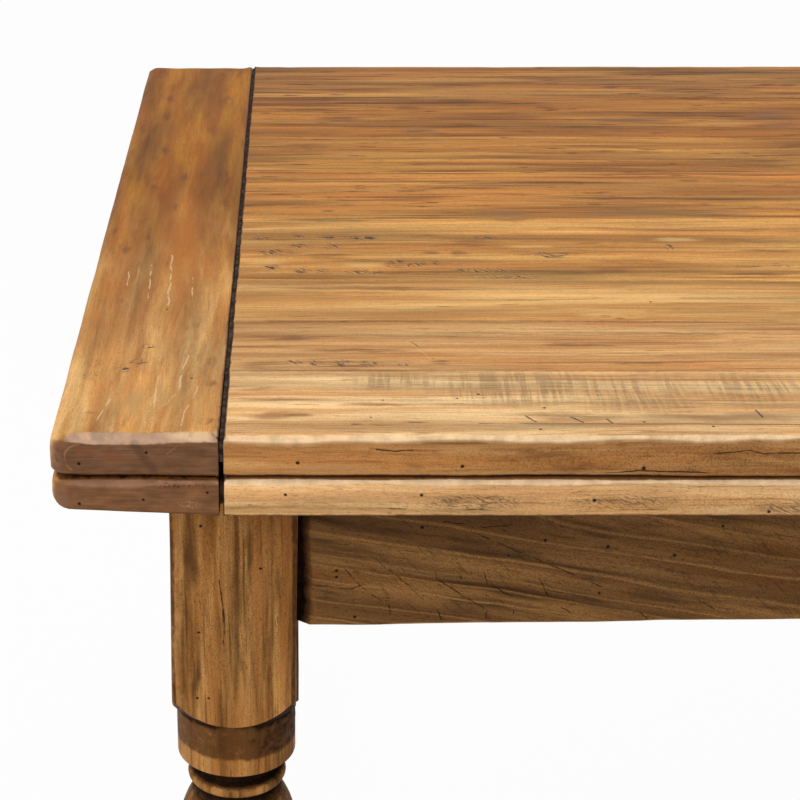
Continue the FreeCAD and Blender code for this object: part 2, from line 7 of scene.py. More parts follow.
# %% Load the frame
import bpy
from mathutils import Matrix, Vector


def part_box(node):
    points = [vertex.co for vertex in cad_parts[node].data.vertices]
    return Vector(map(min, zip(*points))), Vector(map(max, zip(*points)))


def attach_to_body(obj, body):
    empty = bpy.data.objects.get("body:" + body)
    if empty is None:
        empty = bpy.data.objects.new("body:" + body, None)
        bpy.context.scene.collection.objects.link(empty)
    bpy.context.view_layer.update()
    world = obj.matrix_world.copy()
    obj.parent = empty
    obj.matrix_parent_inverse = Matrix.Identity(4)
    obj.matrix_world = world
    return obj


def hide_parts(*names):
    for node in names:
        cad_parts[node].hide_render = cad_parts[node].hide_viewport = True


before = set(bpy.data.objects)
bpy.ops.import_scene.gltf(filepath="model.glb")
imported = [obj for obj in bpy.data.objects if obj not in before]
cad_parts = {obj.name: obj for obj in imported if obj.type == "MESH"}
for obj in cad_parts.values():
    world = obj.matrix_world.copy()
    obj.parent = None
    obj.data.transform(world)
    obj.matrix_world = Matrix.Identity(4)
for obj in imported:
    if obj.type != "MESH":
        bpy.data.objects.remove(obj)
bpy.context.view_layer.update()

# %% [markdown]
# ## Units and random lines
# The sizes below are in millimetres, as on a cutting list, and a mesh turns them into metres at the end.
# Worn edges are never straight, so we need smooth random lines. Blender has noise functions, but a table
# of random knots with a fixed seed, blended from knot to knot, gives the same wear on every run.

# %% Smooth random lines and sheets
import math
import bmesh
import bpy
import numpy as np
from mathutils import Vector

MM = 0.001
KNOTS = 256
TINY = 1e-6


def eased(values):
    """Whole part and smoothly eased fraction of some numbers."""
    whole = np.floor(values)
    part = values - whole
    return whole.astype(int), part * part * (3 - 2 * part)


def wander(seed, places, wavelength):
    """Smooth random numbers from -1 to 1 along a line."""
    knots = np.random.default_rng(seed).uniform(-1, 1, KNOTS)
    i, f = eased(np.asarray(places, float) / wavelength)
    return knots[i % KNOTS] * (1 - f) + knots[(i + 1) % KNOTS] * f


def ripple(seed, a, b):
    """Smooth random numbers from -1 to 1 over a sheet."""
    knots = np.random.default_rng(seed).uniform(-1, 1, (KNOTS, KNOTS))
    i, f = eased(a)
    j, g = eased(b)
    near = knots[i % KNOTS, j % KNOTS] * (1 - g) + knots[i % KNOTS, (j + 1) % KNOTS] * g
    far = knots[(i + 1) % KNOTS, j % KNOTS] * (1 - g) + knots[(i + 1) % KNOTS, (j + 1) % KNOTS] * g
    return near * (1 - f) + far * f


def ramp(values, start, end):
    """0 at the start, 1 at the end, eased between them."""
    t = np.clip((np.asarray(values, float) - start) / (end - start), 0, 1)
    return t * t * (3 - 2 * t)


print("wander at 0, 50 and 100 mm:", np.round(wander(1, [0, 50, 100], 40), 2))

# %% [markdown]
# ## Boards as lattices
# A board is a box with tongues, grooves and notches. Booleans would do that, but leave long thin faces
# that can't be worn. So we fill the cells of a lattice whose lines crowd together at the edges, and
# keep the faces between full and empty cells: every face is a small quad, and the shell is closed.

# %% Lattice lines and the shell of the filled cells
EDGE_LINES = 6
LEAST_CELL = 0.05


def lattice_lines(low, high, ease_low, ease_high, step, extra=()):
    """Lines from low to high: close together in the eased edges, then at most a step apart."""
    count = max(2, math.ceil((high - ease_high - low - ease_low) / step) + 1)
    edge = np.linspace(0, 1, EDGE_LINES)[:-1]
    lines = np.concatenate([low + ease_low * edge,
                            np.linspace(low + ease_low, high - ease_high, count),
                            high - ease_high * edge, np.asarray(extra, float)])
    lines = np.sort(lines)
    wanted = np.concatenate([[True], np.diff(lines) > LEAST_CELL])
    return lines[wanted]


def shell(lines, filled):
    """Points and outward quads of the filled cells of a lattice."""
    found = []
    for axis in range(3):
        second, third = (axis + 1) % 3, (axis + 2) % 3
        border = [(1, 1) if a == axis else (0, 0) for a in range(3)]
        change = np.diff(np.pad(filled.astype(int), border), axis=axis)
        for sign in (1, -1):
            quads = np.repeat(np.argwhere(change == sign)[:, None, :], 4, axis=1)
            quads[:, 1:3, second] += 1
            quads[:, 2:4, third] += 1
            found.append(quads[:, ::-1] if sign == 1 else quads)
    corners = np.concatenate(found)
    shape = tuple(n + 1 for n in filled.shape)
    flat = np.ravel_multi_index(tuple(corners.reshape(-1, 3).T), shape)
    kept, faces = np.unique(flat, return_inverse=True)
    index = np.unravel_index(kept, shape)
    points = np.stack([lines[a][index[a]] for a in range(3)], axis=1)
    return points, faces.reshape(-1, 4)


def cells_within(lines, low, high):
    """Which cells of a lattice have their middle inside a box."""
    inside = np.ones([len(line) - 1 for line in lines], bool)
    for axis in range(3):
        middle = (lines[axis][1:] + lines[axis][:-1]) / 2
        hit = (middle > low[axis]) & (middle < high[axis])
        inside &= hit.reshape([-1 if a == axis else 1 for a in range(3)])
    return inside


cube = [np.array([0.0, 1.0, 2.0])] * 3
print("a cube of 8 cells has", len(shell(cube, np.ones((2, 2, 2), bool))[1]), "quads")

# %% [markdown]
# ## Wearing a block
# Years of use round a board's corners in plan and roll its edges over, more at some places than at
# others. A bevel modifier gives one even width. Here each lattice point knows how far it lies from the
# edges, and slides onto a curve whose width and depth wander along the edge. The same distances say
# where the finish is rubbed pale and where dirt collects, and go into the mesh for the materials.

# %% The lumps of a worn edge
KEEN = (0.5, 0.5)
LUMPS, LUMP_LENGTH, SMALL_LUMP_LENGTH = 0.28, 55.0, 17.0
MOST_LUMPS = 1 + 1.5 * LUMPS


def edge_sizes(entry, along, seed):
    """Width and depth of a worn edge at places along it."""
    width, depth = entry
    long_lumps, short_lumps = wander(seed, along, LUMP_LENGTH), wander(seed + 1, along, SMALL_LUMP_LENGTH)
    lumps = 1 + LUMPS * (long_lumps + 0.5 * short_lumps)
    return width * lumps, depth * lumps


print("a 4 mm edge at three places:", np.round(edge_sizes((4.0, 4.0), np.array([0, 40, 80]), 1)[0], 1))

# %% Corners and edges of a block
def rounded_corners(points, low, high, plan, corner):
    """Points with rounded corners in plan, their sides, the way out, and how far inside they lie."""
    offset = points - (low + high) / 2
    side = np.where(offset < 0, -1, 1)
    depth = (high - low)[plan] / 2 - np.abs(offset[:, plan])
    turn = corner[:, None] - depth
    turning = (turn > 0).all(axis=1)
    spread = np.where(turning, np.hypot(turn[:, 0], turn[:, 1]), 1.0)
    straight = np.eye(2)[depth.argmin(axis=1)]
    outward = np.where(turning[:, None], turn / spread[:, None], straight)
    squeeze = np.where(turning, turn.max(axis=1) / spread, 1.0)
    pull = np.where(turning[:, None], turn * (1 - squeeze)[:, None], 0.0)
    moved = points.copy()
    moved[:, plan] -= side[:, plan] * pull
    return moved, side, outward, depth.min(axis=1)


def edge_profile(points, plan, side, outward, edges, face_side, seed):
    """Width and drop of the worn edge that each point belongs to, on one side of the face."""
    width, drop = np.full(len(points), TINY), np.full(len(points), TINY)
    for k, axis in enumerate(plan):
        along = points[:, plan[1 - k]]
        for s in (-1, 1):
            entry = edges.get((face_side, axis, s), KEEN)
            sizes = edge_sizes(entry, along, seed + 10 * axis + 3 * s + face_side)
            share = outward[:, k] ** 2 * (side[:, axis] == s)
            width += share * sizes[0]
            drop += share * sizes[1]
    return width, drop


print("an edge that isn't listed keeps a width of", KEEN[0], "mm")

# %% The wear of one block
WALL_FADE, WALL_SHARE, WALL_WAVE = 12.0, 0.12, 60.0
HOLLOW_LENGTH, HOLLOW_WIDTH = 130, 47
RUBBED_WIDTHS, RUBBED_ACROSS = (1.0, 3.4), (0.0, 0.45)
RUBBED_FLAT, RUBBED_ROUND, FLATTEST_ROUND = (0.0, 0.15), (0.0, 0.5), 1.5


def wear(points, low, high, face, edges, corner, roundness, hollow, seed, rubbed_side):
    """Moved points of a block with worn edges, and how worn each of them is.

    edges[(face side, plan axis, side)] holds the width and depth of the edge between them.
    """
    plan = [a for a in range(3) if a != face]
    moved, side, outward, inset = rounded_corners(points, low, high, plan, corner)
    offset, half = (points - (low + high) / 2)[:, face], (high - low)[face] / 2
    heading = outward * side[:, plan]
    worn, wall = np.zeros(len(points)), np.zeros(len(points))
    rubbed_down = RUBBED_FLAT if roundness < FLATTEST_ROUND else RUBBED_ROUND
    for face_side in (-1, 1):
        width, drop = edge_profile(points, plan, side, outward, edges, face_side, seed)
        across = np.clip(1 - inset / width, 0, 1)
        down = np.clip(1 - (half - face_side * offset) / drop, 0, 1)
        both = (across > 0) & (down > 0)
        norm = np.where(both, (across ** roundness + down ** roundness) ** (1 / roundness), 1.0)
        slide = np.where(both, 1 - np.maximum(across, down) / norm, 0.0)
        moved[:, plan] -= heading * (width * across * slide)[:, None]
        moved[:, face] -= face_side * drop * down * slide
        rubbed = ramp(across, *RUBBED_ACROSS) * ramp(down, *rubbed_down) * ramp(width, *RUBBED_WIDTHS)
        worn = np.maximum(worn, rubbed * (face_side == rubbed_side))
        wall = np.maximum(wall, np.minimum(hollow, WALL_SHARE * width))
    a, b = points[:, plan[0]], points[:, plan[1]]
    dip = hollow * (0.5 + 0.5 * ripple(seed, a / HOLLOW_LENGTH, b / HOLLOW_WIDTH))
    moved[:, face] -= offset / half * dip
    wave = wall * (0.5 + 0.5 * wander(seed + 5, a + b, WALL_WAVE))
    fade = np.exp(-np.clip(inset, 0, None) / WALL_FADE)
    moved[:, plan] -= heading * (wave * fade)[:, None]
    return moved, worn


print("faces dip over", HOLLOW_LENGTH, "mm and walls wave over", WALL_WAVE, "mm")

# %% [markdown]
# ## Turning a block into a piece
# Every piece rides on its CAD body and stands for its CAD node.
# A few numbers per board go into its mesh too: a seed and a tone, so that boards that share a material
# still differ, and the place of the pith, the heart of the log, which decides how the rings cut the face.

# %% End grain and the boxes of CAD nodes
END_CUT = (0.35, 0.8)


def end_grain(points, faces, axis):
    """How squarely the faces round each point are cut across the grain, from 0 to 1."""
    corners = points[faces]
    normal = np.cross(corners[:, 2] - corners[:, 0], corners[:, 3] - corners[:, 1])
    normal /= np.maximum(np.linalg.norm(normal, axis=1, keepdims=True), TINY)
    total, count = np.zeros(len(points)), np.zeros(len(points))
    for k in range(faces.shape[1]):
        np.add.at(total, faces[:, k], np.abs(normal[:, axis]))
        np.add.at(count, faces[:, k], 1)
    return ramp(total / np.maximum(count, 1), *END_CUT)


def node_box(node):
    """Lowest and highest corner of a CAD node, in millimetres."""
    return [np.array(corner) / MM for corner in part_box(node)]


print("the front left leg stands from", *np.round(node_box("front_left_leg")[0]), "mm")

# %% Making pieces
SHARP_DEGREES = 48
made = {}


def attach(mesh, name, kind, values):
    """Stores numbers on the points of a mesh."""
    attribute = mesh.attributes.new(name, kind, "POINT")
    key = "vector" if kind == "FLOAT_VECTOR" else "value"
    attribute.data.foreach_set(key, np.ascontiguousarray(values, np.float32).ravel())


def make_piece(name, points, faces, marks, board, body, nodes):
    """A mesh piece on a CAD body.

    board is (seed, tone, warmth), then (pith across, pith deep, ring width).
    """
    mesh = bpy.data.meshes.new(name)
    mesh.from_pydata((points * MM).tolist(), [], faces.tolist())
    mesh.polygons.foreach_set("use_smooth", np.ones(len(mesh.polygons), bool))
    mesh.set_sharp_from_angle(angle=math.radians(SHARP_DEGREES))
    for key, values in marks.items():
        attach(mesh, key, "FLOAT", values)
    attach(mesh, "board", "FLOAT_VECTOR", np.tile(board[0], (len(points), 1)))
    attach(mesh, "pith", "FLOAT_VECTOR", np.tile(board[1], (len(points), 1)))
    piece = bpy.data.objects.new(name, mesh)
    bpy.context.scene.collection.objects.link(piece)
    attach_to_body(piece, body)
    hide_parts(*nodes)
    made[name] = piece
    return piece


print("edges sharper than", SHARP_DEGREES, "degrees stay sharp")

# %% A worn block
GUIDE_REACH = 60
LEAST_CORNER = 0.4
EASES_IN_A_BLOCK = 2.2


def worn_block(low, high, face, edges, seed, steps, corner=None, roundness=2.0, hollow=0.35,
               add=(), cut=(), guides=(), rubbed_side=1):
    """Points, moved points, faces and wear of a block.

    add and cut are boxes that join it or are taken out of it. guides are points that lattice lines run
    through. rubbed_side is the side of the face whose edges are rubbed pale.
    """
    plan = [a for a in range(3) if a != face]
    lines = []
    for axis in range(3):
        ease = []
        for s in (-1, 1):
            if axis == face:
                keys = [(s, p, e) for p in plan for e in (-1, 1)]
                sizes = [edges.get(k, KEEN)[1] for k in keys]
            else:
                sizes = [edges.get((f, axis, s), KEEN)[0] for f in (-1, 1)]
            ease.append(min(max(sizes) * MOST_LUMPS, (high - low)[axis] / EASES_IN_A_BLOCK))
        extra = [c[axis] for pair in (*add, *cut, guides) for c in pair]
        ends = [e for e in extra if low[axis] - GUIDE_REACH < e < high[axis] + GUIDE_REACH]
        lines.append(lattice_lines(low[axis], high[axis], *ease, steps[axis], ends))
    filled = cells_within(lines, low, high)
    for pair in add:
        filled |= cells_within(lines, *pair)
    for pair in cut:
        filled &= ~cells_within(lines, *pair)
    points, faces = shell(lines, filled)
    middle = (low + high) / 2
    radius = np.full(len(points), LEAST_CORNER)
    for (side_a, side_b), value in (corner or {}).items():
        here = ((points[:, plan[0]] - middle[plan[0]]) * side_a > 0)
        here &= (points[:, plan[1]] - middle[plan[1]]) * side_b > 0
        radius[here] = value
    moved, worn = wear(points, low, high, face, edges, radius, roundness, hollow, seed, rubbed_side)
    return points, moved, faces, worn


small = worn_block(np.zeros(3), np.full(3, 40.0), 2, {}, 31, (10.0, 10.0, 10.0))
print("a block of 40 mm has", len(small[2]), "quads")

# %% [markdown]
# ## Shader maths
# A wood finish is mostly arithmetic: noise, distances, masks. Clicking Math nodes together hides the
# formula, so a small class wraps a socket and turns Python's + - * / into Math nodes. Everything else,
# from noise to colour mixing, comes from one method that takes a node's type, settings and inputs.

# %% Sockets that can be calculated with
class Field:
    """A number or vector that changes over a surface: one output socket of a node tree."""

    def __init__(self, sheet, socket):
        self.sheet, self.socket = sheet, socket

    def maths(self, operation, *others):
        values = dict(enumerate(others))
        return self.sheet.node("ShaderNodeMath", {"operation": operation}, values)

    def __add__(self, other):
        return self.maths("ADD", self, other)

    def __radd__(self, other):
        return self.maths("ADD", other, self)

    def __sub__(self, other):
        return self.maths("SUBTRACT", self, other)

    def __rsub__(self, other):
        return self.maths("SUBTRACT", other, self)

    def __mul__(self, other):
        return self.maths("MULTIPLY", self, other)

    def __rmul__(self, other):
        return self.maths("MULTIPLY", other, self)

    def __truediv__(self, other):
        return self.maths("DIVIDE", self, other)

    def __rtruediv__(self, other):
        return self.maths("DIVIDE", other, self)

    def __pow__(self, other):
        return self.maths("POWER", self, other)

    def __rpow__(self, other):
        return self.maths("POWER", other, self)

    def larger(self, other):
        return self.maths("MAXIMUM", self, other)


print("reflected forms:", [name.strip("_") for name in vars(Field) if name.startswith("__r")])


# %% A node tree that is written line by line
class Sheet:
    """A node tree that is written line by line."""

    def __init__(self, tree):
        self.tree = tree
        tree.nodes.clear()

    def node(self, kind, settings=None, inputs=None, output=0):
        """Adds a node: first its settings, then the values or links of its inputs."""
        added = self.tree.nodes.new(kind)
        for key, value in (settings or {}).items():
            setattr(added, key, value)
        for key, value in (inputs or {}).items():
            if isinstance(value, Field):
                self.tree.links.new(value.socket, added.inputs[key])
            else:
                added.inputs[key].default_value = value
        return Field(self, added.outputs[output]) if added.outputs else None

    def split(self, vector):
        apart = self.node("ShaderNodeSeparateXYZ", inputs={0: vector}).socket.node
        return [Field(self, socket) for socket in apart.outputs]

    def vector(self, a, b, c):
        return self.node("ShaderNodeCombineXYZ", inputs={0: a, 1: b, 2: c})

    def noise(self, vector, detail=2.0, rough=0.5):
        inputs = {"Vector": vector, "Scale": 1.0, "Detail": detail, "Roughness": rough}
        return self.node("ShaderNodeTexNoise", inputs=inputs)

    def smooth(self, value, start, end):
        """0 at the start, 1 at the end, eased between them."""
        inputs = {"Value": value, "From Min": start, "From Max": end}
        return self.node("ShaderNodeMapRange", {"interpolation_type": "SMOOTHSTEP"}, inputs)

    def mix(self, first, second, share, blend="MIX"):
        """Two colours mixed."""
        settings = {"data_type": "RGBA", "blend_type": blend, "clamp_factor": True}
        return self.node("ShaderNodeMix", settings, {0: share, 6: first, 7: second}, output=2)

    def arrow(self, operation, *values, output=0):
        """Vector Math on vectors."""
        return self.node("ShaderNodeVectorMath", {"operation": operation}, dict(enumerate(values)), output)


def tint(red, green, blue):
    """A colour as seen on a screen, from 0 to 255, as the linear values that shaders take."""
    share = np.array([red, green, blue]) / 255
    linear = np.where(share <= 0.04045, share / 12.92, ((share + 0.055) / 1.055) ** 2.4)
    return (*linear.tolist(), 1.0)


print("mid-grey in linear light:", round(tint(128, 128, 128)[0], 3))

# %% [markdown]
# ## One wood, many boards
# Real wood is solid, so its figure is a 3-D pattern that the saw cuts through. Growth rings are cylinders
# round the pith, bent by slow noise. Stretched noise of many lengths makes the lens-shaped streaks, the
# fibres and the pores. Because the pattern is solid, end grain shows arcs by itself.

# %% The place in a board and its growth rings
YEAR_DRIFT_RATE, YEAR_DRIFT = 0.31, 2.4


def grain_frame(f, axes, look):
    """Millimetres along, across and deep in a board, and the seed, tone and pith of the piece."""
    place = f.split(f.node("ShaderNodeTexCoord", output="Object"))
    spots = [place[a] * (1 / MM) for a in axes]
    if "pith" in look:
        return spots, look["board"], look["pith"]
    board, pith = (f.split(f.node("ShaderNodeAttribute", {"attribute_name": n}, output="Vector"))
                   for n in ("board", "pith"))
    return spots, board, pith


def growth_rings(f, across, deep, pith):
    """How far each year's growth has got, from 0 to 1, and a random number for the year."""
    from_pith = ((across - pith[0]) ** 2 + (deep - pith[1]) ** 2) ** 0.5
    years = from_pith / pith[2]
    drift = f.node("ShaderNodeTexNoise", {"noise_dimensions": "1D"},
                   {"W": years * YEAR_DRIFT_RATE, "Scale": 1.0})
    years = years + drift * YEAR_DRIFT
    part = years.maths("FRACT", years)
    chance = f.node("ShaderNodeTexWhiteNoise", {"noise_dimensions": "1D"}, {"W": years - part})
    return part, chance


print("rings drift by up to", YEAR_DRIFT, "years")

# %% Noise along the grain
SEED_STEP, SEED_STRETCH, SEED_SINK = 211.0, 5.0, 0.7
FLOW_SIZE, QUIVER_SIZE = (270, 80), (46, 17)


def grain_noise(f, spots, seed, look):
    """A function that makes noise stretched along the grain, and the bent place across and deep."""
    shift = seed * SEED_STEP
    along = spots[0] + shift * SEED_STRETCH

    def bending(length, width):
        return f.noise(f.vector(along / length, (spots[1] + shift) / width, spots[2] / width)) - 0.5

    flow, quiver = bending(*FLOW_SIZE), bending(*QUIVER_SIZE)
    across = spots[1] + spots[0] * look["tilt"] + flow * look["wave"] + quiver * look["quiver"]
    deep = spots[2] + flow * look["wave"]
    beside, below = across + shift, deep + shift * SEED_SINK

    def streaks(length, width, detail=2.0, rough=0.5):
        return f.noise(f.vector(along / length, beside / width, below / width), detail, rough)

    return streaks, across, deep


def even_noise(f, spots, size, detail=3.0, rough=0.6):
    """Noise of one size in every direction."""
    return f.noise(f.vector(*[s / size for s in spots]), detail, rough)


print("the grain bends over", FLOW_SIZE[0], "mm and quivers over", QUIVER_SIZE[0], "mm")

# %% [markdown]
# Clean wood comes first: tones in streaks of many lengths, then dark late wood and its pale lines, then
# pores, fibres and grit, and broad bands of light and dark. A colour ramp on one noise would be quicker,
# but one noise has one scale, and wood has marks from a hair's width to a hand's.

# %% Clean wood
SOFT = (3.0, 0.55)
MOST_COVER = 0.95
LATE_PATCH, BAND_WIDTH, BAND_STRETCH = (230, 45), 24, 1.2
FIBRE_SIZE, PORE_SIZE = (26, 0.62), (5.0, 0.8)


def streaked(f, streaks, look):
    """The tones of a look laid over each other in streaks."""
    tones = look["tones"]
    colour = f.mix(tones["pale"], tones["body"], f.smooth(streaks(*look["grain"], *SOFT), 0.36, 0.62))
    for tone, length, width, start, stop, strength in look["layers"]:
        cover = f.smooth(streaks(length, width, *SOFT), start, stop)
        colour = f.mix(colour, tones[tone], cover * min(strength * look["contrast"], MOST_COVER))
    return colour


def clean_wood(f, spots, streaks, rings, board, end, look):
    """Colour, relief and fibre of a board before wear and dirt."""
    tones, (part, chance), (grit_size, grit_strength) = look["tones"], rings, look["grit"]
    late = f.smooth(part, 0.3, 0.9) * (1 - f.smooth(part, 0.93, 1.0)) * (0.25 + 0.75 * chance)
    late = late * (f.smooth(streaks(*LATE_PATCH), 0.32, 0.62) * 0.8 + 0.2)
    colour = f.mix(streaked(f, streaks, look), tones["brown"], late * (look["rings"] + end * 0.35))
    line = f.smooth(part, 0.74, 0.88) * (1 - f.smooth(part, 0.92, 0.98))
    colour = f.mix(colour, tones["pale"], line * look["growth_line"])
    fibre = streaks(*FIBRE_SIZE, 3.0, 0.65)
    pores = f.smooth(streaks(*PORE_SIZE, 1.0), 0.62, 0.74)
    colour = f.mix(colour, tones["brown"], pores * look["pores"])
    grit = even_noise(f, spots, grit_size, 2.0, 0.7)
    bands = streaks(look["grain"][0] * BAND_STRETCH, BAND_WIDTH, 3.0) - 0.5
    light = (1 + (fibre - 0.5) * look["fibre"]) * (1 + (grit - 0.5) * grit_strength)
    light = light * (1 + bands * look["bands"]) * (1 + board[1])
    colour = f.mix(colour, light, 1.0, "MULTIPLY")
    colour = f.mix(colour, tones["amber"], board[2])
    return colour, fibre * 0.3 - pores * 0.35 - late * 0.3, fibre


print("clean wood has fibres of", FIBRE_SIZE[1], "mm and bands of", BAND_WIDTH, "mm")

# %% [markdown]
# Wear and dirt follow the numbers that the meshes carry, and so does painted shade. A plain mask would give
# them airbrushed edges, so each is broken up with noise before it is cut off. Dirt is brown where it is
# thin, and crusted black where it is thick. The same brown and black paint the shade in the gap under the
# top, on the legs' chamfers and shoulders and in the aprons.

# %% Cut ends, rubbed edges and dirt
SCUFF_SIZE, DIRT_SIZE, CRUST_SIZE = 11, 7, 5


def cut_and_rubbed(f, spots, streaks, end, worn, colour, look):
    """The colour with end grain and edges that are rubbed pale."""
    tones = look["tones"]
    layers = f.noise(f.vector(spots[0] / 30, spots[1] / 30, spots[2] / 0.9), 3.0, 0.6)
    blotch = f.noise(f.vector(spots[0] / 30, spots[1] / 14, spots[2] / 6), 2.0)
    cut = f.mix(tones["end"], (0.35 + 0.75 * layers) * (0.45 + 1.1 * blotch), 1.0, "MULTIPLY")
    colour = f.mix(colour, cut, end * look["end"])
    scuffs = even_noise(f, spots, SCUFF_SIZE, 4.0)
    rub = worn + (streaks(60, 7) - 0.5) * 0.5 + (scuffs - 0.5) * 0.9
    polish = f.mix(tones["rubbed"], 0.45 + 1.1 * scuffs, 1.0, "MULTIPLY")
    return f.mix(colour, polish, f.smooth(rub, 0.25, 0.9) * look["rub"])


def dirtied(f, spots, grime, colour, look):
    """The colour under dirt and painted shade, and how thick they are."""
    # the dirt number holds real dirt and painted shade alike, so the brown and the black crust paint shade
    # too
    dirt = grime + (even_noise(f, spots, DIRT_SIZE) - 0.5) * 0.7
    colour = f.mix(colour, look["tones"]["brown"], f.smooth(dirt, 0.15, 0.5) * 0.85)
    soot_and_shade = f.smooth(dirt, 0.55, 0.85)
    crust = f.mix(*look["crust"], f.smooth(even_noise(f, spots, CRUST_SIZE), 0.44, 0.62))
    return f.mix(colour, crust, soot_and_shade * 0.95), soot_and_shade


print("scuffs, dirt and crust come in spots of", SCUFF_SIZE, DIRT_SIZE, "and", CRUST_SIZE, "mm")

# %% A finish
SHEEN = 0.07
RELIEF = 0.5 * MM


def new_finish(name):
    """An empty finish and its node tree."""
    material = bpy.data.materials.new(name)
    material.use_nodes = True
    return material, Sheet(material.node_tree)


def wood(name, axes, look, details=()):
    """A wood finish. axes are the row-frame axes along, across and deep in the board."""
    material, f = new_finish(name)
    spots, board, pith = grain_frame(f, axes, look)
    streaks, across, deep = grain_noise(f, spots, board[0], look)
    end, grime, worn = (f.node("ShaderNodeAttribute", {"attribute_name": n}, output="Fac")
                        for n in ("end", "grime", "worn"))
    rings = growth_rings(f, across, deep, pith)
    colour, height, fibre = clean_wood(f, spots, streaks, rings, board, end, look)
    colour = cut_and_rubbed(f, spots, streaks, end, worn, colour, look)
    for detail in details:
        colour, height = detail(f, spots, streaks, colour, height)
    colour, soot_and_shade = dirtied(f, spots, grime, colour, look)
    rough = look["rough"] + 0.16 * fibre + 0.25 * soot_and_shade
    bump = f.node("ShaderNodeBump", inputs={"Strength": look["bump"], "Distance": RELIEF, "Height": height})
    shader = f.node("ShaderNodeBsdfPrincipled", inputs={
        "Base Color": colour, "Roughness": rough, "Normal": bump, "Specular IOR Level": SHEEN})
    f.node("ShaderNodeOutputMaterial", inputs={"Surface": shader})
    return material


print("a wood finish has a sheen of", SHEEN, "and a relief of", RELIEF / MM, "mm")

# %% [markdown]
# ## Marks of a long life
# Holes, cracks, scratches, saw marks and torn grain sit at places that can be pointed at. Images would
# pin them down, but here each mark is a distance in the row frame: near a point, near a line, or inside
# a soft ellipse. A little noise bends the space first, so that no mark has a ruled edge.

# %% Helpers for marks
FACE_REACH = 20.0


def place_of(f, spots, axes, bend=0.0, size=6.0):
    """The point in row-frame millimetres, bent a little by noise."""
    here = f.vector(*[spots[axes.index(a)] for a in range(3)])
    if not bend:
        return here
    stirred = f.node("ShaderNodeVectorMath", {"operation": "SCALE"}, {0: here, "Scale": 1 / size})
    wild = f.node("ShaderNodeTexNoise", inputs={"Vector": stirred, "Scale": 1.0, "Detail": 2.0}, output=1)
    offset = f.arrow("MULTIPLY_ADD", wild, (bend, bend, bend), (-bend / 2, -bend / 2, -bend / 2))
    return f.arrow("ADD", here, offset)


def largest(fields):
    """The largest of some fields at each point."""
    total = fields[0]
    for field in fields[1:]:
        total = field.larger(total)
    return total


def within(f, here, places, core):
    """1 in the core of some ellipses, 0 outside them: (middle, half sizes) each."""
    spots = []
    for middle, sizes in places:
        apart = f.arrow("DIVIDE", f.arrow("SUBTRACT", here, middle), sizes)
        spots.append(f.smooth(f.arrow("LENGTH", apart, output=1), 1.0, core))
    return largest(spots)


def on_face(axis, value, rows):
    """Ellipses on a flat face from rows of (first, second, half first, half second) in millimetres."""
    placed = []
    for a, b, half_a, half_b in rows:
        middle, sizes = [a, b], [half_a, half_b]
        middle.insert(axis, value)
        sizes.insert(axis, FACE_REACH)
        placed.append((tuple(middle), tuple(sizes)))
    return placed


print("a mark on a face reaches", FACE_REACH, "mm to each side of it")

# %% Holes, lines and stains
INK, GLINT, HOLE = tint(58, 42, 44), tint(236, 196, 134), tint(22, 16, 12)


def holes(axes, places):
    """Worm holes: (x, y, z, radius)."""
    def mark(f, spots, streaks, colour, height):
        here = place_of(f, spots, axes, 0.9, 2.0)
        pits = []
        for x, y, z, radius in places:
            apart = f.arrow("DISTANCE", here, (x, y, z), output=1)
            pits.append(f.smooth(apart, radius * 1.3, radius * 0.6))
        pit = largest(pits)
        return f.mix(colour, HOLE, pit * 0.95), height - pit * 3.0
    return mark


def lines(axes, places, ink, strength=0.9, bend=2.5, size=7.0, lift=-1.5, broken=0.45):
    """Cracks, scratches and painted shadow lines: (start, end, width) each."""
    def mark(f, spots, streaks, colour, height):
        here = place_of(f, spots, axes, bend, size)
        drawn = []
        for start, end, width in places:
            way = np.subtract(end, start)
            from_start = f.arrow("SUBTRACT", here, start)
            share = f.arrow("DOT_PRODUCT", from_start, tuple(way / (way @ way)), output=1)
            share = share.maths("MINIMUM", share.larger(0.0), 1.0)
            foot = f.arrow("MULTIPLY", f.vector(share, share, share), tuple(way.tolist()))
            drawn.append(f.smooth(f.arrow("DISTANCE", from_start, foot, output=1), width, width * 0.3))
        total = largest(drawn) * f.smooth(streaks(11, 4), broken - 0.15, broken + 0.1)
        return f.mix(colour, ink, total * strength), height + total * lift
    return mark


def clouds(axes, places, ink, strength=0.6, grain=(70, 3.5), bend=9.0, core=0.2):
    """Soft stains that follow the grain: (middle, half sizes) each."""
    def mark(f, spots, streaks, colour, height):
        here = place_of(f, spots, axes, bend, bend * 2.2)
        total = within(f, here, places, core) * f.smooth(streaks(*grain, 3.0, 0.6), 0.36, 0.58)
        return f.mix(colour, ink, total * strength), height
    return mark


print("marks: holes, lines, clouds")


# %% Torn grain, hairlines and specks
def torn_grain(axes, places, strength=0.95, slant=0.9, reach=9.0, across=None):
    """Short slanted strokes and threads where the plane tore the grain: (middle, half sizes) each."""
    def mark(f, spots, streaks, colour, height):
        here = place_of(f, spots, axes, 5.0, 11.0)
        apart = f.split(here)
        along, up = apart[axes[0]], apart[across or axes[1]]
        span = within(f, here, places, 0.5)
        lean = (along + up * slant) / 3.0
        flecks = f.smooth(f.noise(f.vector(lean, up / reach, 0.0), 2.0, 0.6), 0.49, 0.60)
        threads = f.smooth(f.noise(f.vector(along / 20.0, up / 2.4, 3.0), 2.0), 0.54, 0.66)
        stroke = span * flecks.larger(threads * 0.75)
        glint = f.smooth(f.noise(f.vector(lean + 0.45, up / reach, 0.0), 2.0, 0.6), 0.49, 0.60) * span
        colour = f.mix(colour, GLINT, glint * 0.3)
        return f.mix(colour, INK, stroke * strength), height - stroke * 1.2
    return mark


